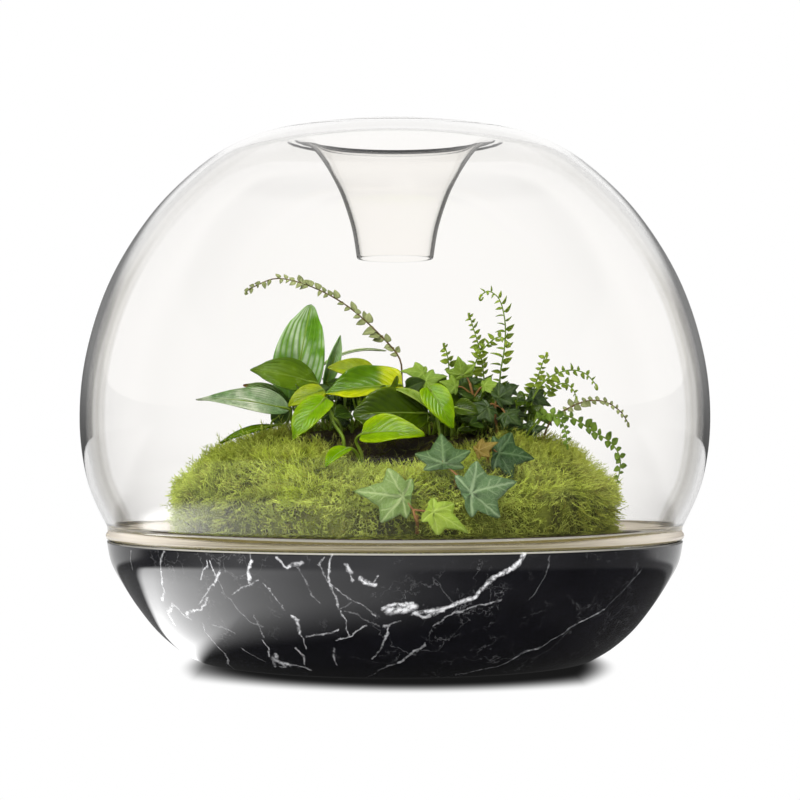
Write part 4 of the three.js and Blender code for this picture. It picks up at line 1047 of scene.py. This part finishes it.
towardsViewer = (0, -1, 0.25)
fernFronds = {
    "fern_long_left": dict(ground=(8, 22), via=[(4, 20, 148), (2.5, 20, 163), (-9, 24, 177), (-27, 27, 193),
        (-47, 30, 204), (-66, 32, 209), (-79, 34, 205), (-84, 34, 202)], pairs=27, size=6.6, first=0.3,
        face=(0.2, -1, 0.3), seed=11, bud=1.2, round=0.8, lean=1.0, gaps=0.3, look="grey"),
    "fern_upright": dict(ground=(60, 14), via=[(58, 12, 150), (60.5, 12, 168), (61, 12, 182), (58, 11, 195),
        (52, 10, 200), (48, 9, 198)], pairs=14, size=7.6, first=0.3, seed=12, bud=2, round=0.35, tilt=1.15),
    "fern_inner": dict(ground=(46, 4), via=[(42, 2, 150), (46, 1, 164), (53, 0, 172), (58, -1, 174),
        (62, -1, 171)], pairs=15, size=6.6, first=0.25, seed=13, bud=1.4, round=0.4, tilt=0.9),
    "fern_young": dict(ground=(51, 8), via=[(49, 8, 152), (46.5, 8, 168), (43, 8, 180), (41, 8, 187)],
        pairs=14, size=5.8, first=0.35, seed=14, round=0.45, tilt=0.9),
    "fern_short": dict(ground=(32, 2), via=[(30, 0, 150), (29, 0, 162), (27, 0, 170)], pairs=4, size=4.6,
        first=0.72, seed=15, round=0.7, tilt=0.6),
    "fern_small_upright": dict(ground=(68, 4), via=[(72, 2, 134), (77, 2, 148), (81, 2, 160), (83, 2, 165)],
        pairs=9, size=6, first=0.42, seed=16, round=0.55, tilt=0.8),
    "fern_right_upper": dict(ground=(72, -8), via=[(75, -8, 140), (83, -8, 151), (94, -8, 155.5),
        (103, -8, 154), (109, -8, 148)], pairs=9, size=5.2, first=0.45, seed=17, round=0.6, tilt=0.8),
    "fern_right_middle": dict(ground=(75, 10), via=[(78, 10, 134), (85, 10, 145), (93, 10, 149),
        (98, 10, 146), (100, 10, 142)], pairs=8, size=4.8, first=0.5, seed=18, round=0.6, tilt=0.7),
    "fern_right_arch": dict(ground=(80, -20), via=[(84, -20, 128), (92, -20, 134), (103, -20, 138.5),
        (113, -20, 138), (121, -20, 133), (125, -20, 127)], pairs=12, size=4.2, first=0.35,
        face=(0, -1, 0.6), seed=19, bud=1.3, round=1.0, look="grey"),
    "fern_right_fall": dict(ground=(70, -36), via=[(74, -40, 126), (79, -43, 131), (85, -45, 130),
        (89, -47, 123), (90, -48, 115)], pairs=8, size=5.6, first=0.42, face=(0.2, -1, 0.3), seed=20,
        bud=1.3, round=0.9, look="deep"),
    "fern_right_trail": dict(ground=(76, -6), via=[(80, -6, 125), (86, -6, 131), (96, -5, 130),
        (108.5, -4, 122), (117, -3, 117), (122.5, -3, 109), (122.5, -3, 100), (120, -3, 92)], pairs=13,
        size=5.6, first=0.32, face=(0.2, -1, 0.3), seed=21, bud=1.3, round=1.0, look="deep"),
}


def addLeaflet(bm, base, out, along, up, length, width, cup):
    def place(a, b):
        u = 2 * a - 1
        half = width / 2 * math.sin(math.pi * min(max(b, 0.0), 1.0) ** 0.66) ** 0.75
        bend = 0.18 * length * b * b
        lift = cup * half * abs(u) ** 2 - 0.12 * length * b * b
        return base + out * (length * b) + along * (half * u + bend) + up * lift

    addSheet(bm, 4, 5, place, material=1, thickness=0.25)


def growFern(name, plan):
    bm = bmesh.new()
    draw = random.Random(plan["seed"])
    face = Vector(plan["face"]).normalized()
    count = 90
    path = pathPoints([*footPath(plan["ground"]), *[Vector(point) for point in plan["via"]]], count)
    addTube(bm, path[::2], lambda t: 0.62 - 0.3 * t, 6)
    for pair in range(plan["pairs"] * 2):
        if draw.random() < plan.get("gaps", 0):
            continue
        done = (pair + 0.5 * draw.random()) / (plan["pairs"] * 2)
        share = plan["first"] + (1 - plan["first"]) * done
        k = min(int(share * count), count - 1)
        spot = path[k].lerp(path[k + 1], share * count - k)
        forward = (path[k + 1] - path[k]).normalized()
        hand = 1 if pair % 2 else -1
        side = forward.cross(face).normalized() * hand
        up = side.cross(forward).normalized() * hand
        fade = min(1, 0.55 + 3 * done) * (1 - 0.55 * done ** 1.5)
        length = plan["size"] * fade * draw.uniform(0.65, 1.25)
        lean = plan.get("lean", 0.35) * draw.uniform(0.3, 1.7)
        out = (side + forward * lean + up * draw.uniform(-0.25, 0.35)).normalized()
        lie = (forward - out * forward.dot(out)).normalized() * hand
        tilt = plan.get("tilt", 0.35) * draw.uniform(0.3, 1.25)
        lie, up = lie * math.cos(tilt) + up * math.sin(tilt), up * math.cos(tilt) - lie * math.sin(tilt)
        width = length * (0.45 + 0.4 * plan["round"])
        addLeaflet(bm, spot, out, lie, up, length, width, draw.uniform(0.1, 0.5))
    tip, before = path[-1], path[-4]
    curl = (tip - before).normalized()
    around = []
    for i in range(9):
        t = i * 0.5
        shrink = 1 - 0.1 * t
        around.append(tip + curl * plan["bud"] * math.sin(t) * shrink
                      + Vector((0, 0, -plan["bud"])) * (1 - math.cos(t)) * shrink)
    addTube(bm, around, lambda t: 0.75 - 0.35 * t, 6, 1)
    stem = woodStem if plan["look"] == "grey" else greenStem
    return makePiece(name + "_fine", bm, [stem, fernLooks[plan["look"]]], [name])


for name, plan in fernFronds.items():
    growFern(name, {"face": towardsViewer, "bud": 1.8, "look": "bright", **plan})


# Moss carpet: a lumpy dark base, and thousands of feathery sprigs that grow out of it

moss = {
    "sprigs": 24000, "length": (4.2, 9.5), "stray": 500, "sectors": 8, "seed": 31,
    "reach": 0.935,  # how far out the roots stand, as a share of the mound
    "footEvery": 4, "footBand": (0.97, 1.0), "footHeights": (62.5, 84),  # the sprigs round the mound's steep foot
    "bareShare": 0.8,  # how many are left out in the shaded hollow
}


def lumps(x, y):
    wide = math.sin(x / 9 + 1.3 * math.sin(y / 14)) * math.sin(y / 8 + x / 23)
    fine = math.sin(x / 3.7 + 2 * math.sin(y / 6)) * math.sin(y / 4.1 + 1.5 * math.sin(x / 7))
    return 1.9 * wide + 0.9 * fine


def mossBase():
    ring = [1.0, 0.997, 0.988, 0.97, 0.94, 0.9, 0.85, 0.79, 0.72, 0.64, 0.55, 0.46, 0.36, 0.26, 0.16, 0.08, 0]
    reach = mound["radius"] - 6.5
    bm = spinProfile([(0, 61.7), (reach - 0.5, 61.7), *[(reach * r, 70) for r in ring]], 96)
    for vert in bm.verts:
        x, y, z = vert.co / mm
        if z > 65:
            edge = min(1, 9 * (1 - math.hypot(x, y) / mound["radius"]))
            vert.co.z = max(mossTop(x, y) + (lumps(x, y) - 2.2) * edge, 62) * mm
    return bm


# One feathery sprig along +Y, curling up, with fine side shoots. Its grow value runs from base to tips
def sprigMesh(draw, tone):
    bm = bmesh.new()
    bend, sway = draw.uniform(0.1, 0.7), draw.uniform(-0.7, 0.7)
    ripple, start = draw.uniform(0.03, 0.08), draw.uniform(0, 6)

    def spine(t):
        x = sway * t * t + ripple * math.sin(7 * t + start)
        return Vector((x, t, bend * t * t + ripple * math.cos(6 * t + start)))

    addSheet(bm, 1, 3, lambda a, b: spine(b) + Vector((0.05 * (a - 0.5) * (1.1 - b), 0, 0.04 * (a - 0.5))))
    for i in range(10):
        t, hand = 0.12 + 0.085 * i, 1 if i % 2 else -1
        long = draw.uniform(0.17, 0.36) * (1.2 - 0.7 * t)
        out = Vector((hand * 0.8, draw.uniform(0.4, 0.8), draw.uniform(-0.3, 0.6))).normalized()
        wide = out.cross(Vector((draw.uniform(-1, 1), draw.uniform(-0.6, 0.6), 1))).normalized()
        curl = Vector((draw.uniform(-0.05, 0.05), 0.09, draw.uniform(-0.04, 0.08)))

        def place(a, b):
            return spine(t) + out * long * b + curl * b * b + wide * (a - 0.5) * 0.05 * (1.15 - b)

        addSheet(bm, 1, 2, place)
    grow = bm.verts.layers.float.new("grow")
    shade = bm.verts.layers.float.new("tone")
    for vert in bm.verts:
        vert[grow] = 0.85 * vert.co.y / mm + 0.9 * abs(vert.co.x - sway * vert.co.y ** 2 / mm) / mm
        vert[shade] = tone
    return meshFrom("sprig", bm)


# Bare ground under the leaves, with painted shade: 1 in the middle of the planting, 0 outside it
def buildGroundGroup():
    group, got, made = newGroup("shaded_ground", {"Place": "Vector"}, ["Mask"])
    flat = got["Place"].vector("ADD", (-0.002, 0.026, 0)).vector("MULTIPLY", (15.5, 23, 0))
    fill(group, made, {"Mask": flat.length().ranged(1.25, 0.8)})
    return group


shadedGround = buildGroundGroup()


def inHollow(x, y):
    return math.hypot((x - 4) * 0.017, (y + 22) * 0.026) < 1


def mossMaterial():
    look, spot = newMaterial("feather_moss")
    grow, tone = [spot.node("Attribute", {}, "Fac", attribute_name=name) for name in ("grow", "tone")]
    x, height = spot.axes()[::2]
    patch = spot.noise(26).ranged(0.35, 0.65)
    low = patch.mix(rgb(70, 74, 22), rgb(86, 98, 22))
    high = patch.mix(rgb(178, 192, 88), rgb(184, 202, 68))
    high = spot.noise(110).ranged(0.4, 0.75).mix(high, rgb(220, 234, 112))
    color = grow.ranged(0.05, 0.85, kind="LINEAR").mix(low, high)
    shade = useGroup(spot.tree, shadedGround, Place=spot)["Mask"]
    # Darker on top, painted shade; paler at the foot, painted light; browner to the right and on dry sprigs; dark
    # brown under the leaves, bare ground and painted shade
    for share, cast in [(height.ranged(0.1, 0.118, 0, 0.45), (90, 100, 12)),
                        (height.ranged(0.082, 0.066, 0, 0.5), (158, 164, 84)),
                        (x.ranged(0.03, 0.12, 0, 0.28), (116, 104, 56)),
                        (tone * 0.45, (118, 92, 40)), (shade * 0.8, (40, 32, 12))]:
        color = share.mix(color, rgb(*cast))
    return finishLook(look, color, 0.22, Roughness=0.7, Specular_IOR_Level=0.25)


def mossBaseMaterial():
    look, spot = newMaterial("moss_base")
    fine = spot.noise(700, 4)
    color = spot.noise(90, 4).ranged(0.35, 0.65).mix(rgb(66, 66, 22), rgb(104, 112, 34))
    shade = useGroup(spot.tree, shadedGround, Place=spot)["Mask"]
    # Under the leaves: bare soil's brown, with painted shade
    color = shade.mix(color, fine.mix(rgb(14, 10, 5), rgb(46, 36, 20)))
    return finishLook(look, color, Roughness=0.9, Normal=fine.bump(0.8, 0.001))


def growMoss():
    draw = random.Random(moss["seed"])
    noise.seed_set(moss["seed"])  # else it is the time of day
    kinds = [sprigMesh(draw, tone) for tone in (0, 0, 0.1, 0.2, 0.35, 0.0, 0.1, 0.9)]
    sectors = [bmesh.new() for _ in range(moss["sectors"])]
    radius = mound["radius"]
    # How far along the mound's slope each ring lies, so that sprigs are spread evenly over it
    shares = [i / 60 for i in range(61)]
    heights = [bunRise(share) for share in shares]
    areas = [0.0]
    for i in range(60):
        step = math.hypot((shares[i + 1] - shares[i]) * radius, heights[i + 1] - heights[i])
        areas.append(areas[-1] + step * (shares[i] + shares[i + 1]))
    for i in range(moss["sprigs"] + moss["stray"]):
        goal, ring = draw.random() * areas[-1], 0
        while areas[ring + 1] < goal:
            ring += 1
        part = (goal - areas[ring]) / (areas[ring + 1] - areas[ring])
        share = shares[ring] + (shares[ring + 1] - shares[ring]) * part
        atFoot = i % moss["footEvery"] == 0
        if atFoot:
            share = draw.uniform(*moss["footBand"])
        turn = draw.uniform(-math.pi, math.pi)
        x, y = moss["reach"] * radius * share * math.sin(turn), -moss["reach"] * radius * share * math.cos(turn)
        if inHollow(x, y) and draw.random() < moss["bareShare"]:
            continue
        z = mossTop(x, y) + lumps(x, y) * min(1, 9 * (1 - share)) - 2.5
        slope = Vector((mossTop(x + 1, y) - mossTop(x - 1, y), mossTop(x, y + 1) - mossTop(x, y - 1), 0)) / 2
        normal = Vector((-slope.x, -slope.y, 1)).normalized()
        if share > 0.975:
            normal = Vector((x, y, 30)).normalized()
        flow = noise.noise_vector(Vector((x, y, z)) / 22)
        jitter = Vector([draw.uniform(-0.8, 0.8) for _ in range(3)])
        lie = flow * 2.4 + Vector((x, y, 0)).normalized() * 0.3 + jitter
        lie = (lie - normal * lie.dot(normal)).normalized()
        stray = i >= moss["sprigs"]
        stand = draw.uniform(1.0, 1.8) if stray else draw.uniform(0.1, 0.8)
        forward = (lie + normal * stand).normalized()
        side = forward.cross(normal).normalized()
        up = side.cross(forward)
        size = draw.uniform(*moss["length"]) * (1.2 if stray else 1)
        low = moss["footHeights"][0]
        root = Vector((x, y, draw.uniform(*moss["footHeights"]) if atFoot else max(z, low))) * mm
        turned = Matrix((side, forward, up)).transposed().to_4x4()
        grown = Matrix.Diagonal((size * draw.uniform(0.8, 1.2), size, size, 1))
        place = Matrix.Translation(root) @ turned @ grown
        kind = kinds[draw.randrange(len(kinds))]
        kind.transform(place)
        sector = int((turn + math.pi) / (2 * math.pi) * moss["sectors"]) % moss["sectors"]
        sectors[sector].from_mesh(kind)
        kind.transform(place.inverted())
    look = mossMaterial()
    for number, bm in enumerate(sectors):
        makePiece(f"moss_sprigs_{number}", bm, [look], smooth=False)


makePiece("moss_carpet", mossBase(), [mossBaseMaterial()], ["moss"])
growMoss()


# Bare soil, which keeps its own solid

def soilMaterial():
    look, spot = newMaterial("dark_soil")
    crumbs = spot.node("TexVoronoi", {"Vector": spot, "Scale": 420})
    fine = spot.noise(300, 6)
    height = fine + crumbs * -0.6
    color = fine.mix(rgb(26, 20, 14), rgb(74, 58, 40))
    return finishLook(look, color, Roughness=0.95, Normal=height.bump(1, 0.0015))


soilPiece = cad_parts["soil"]
soilPiece.data.materials.clear()
soilPiece.data.materials.append(soilMaterial())
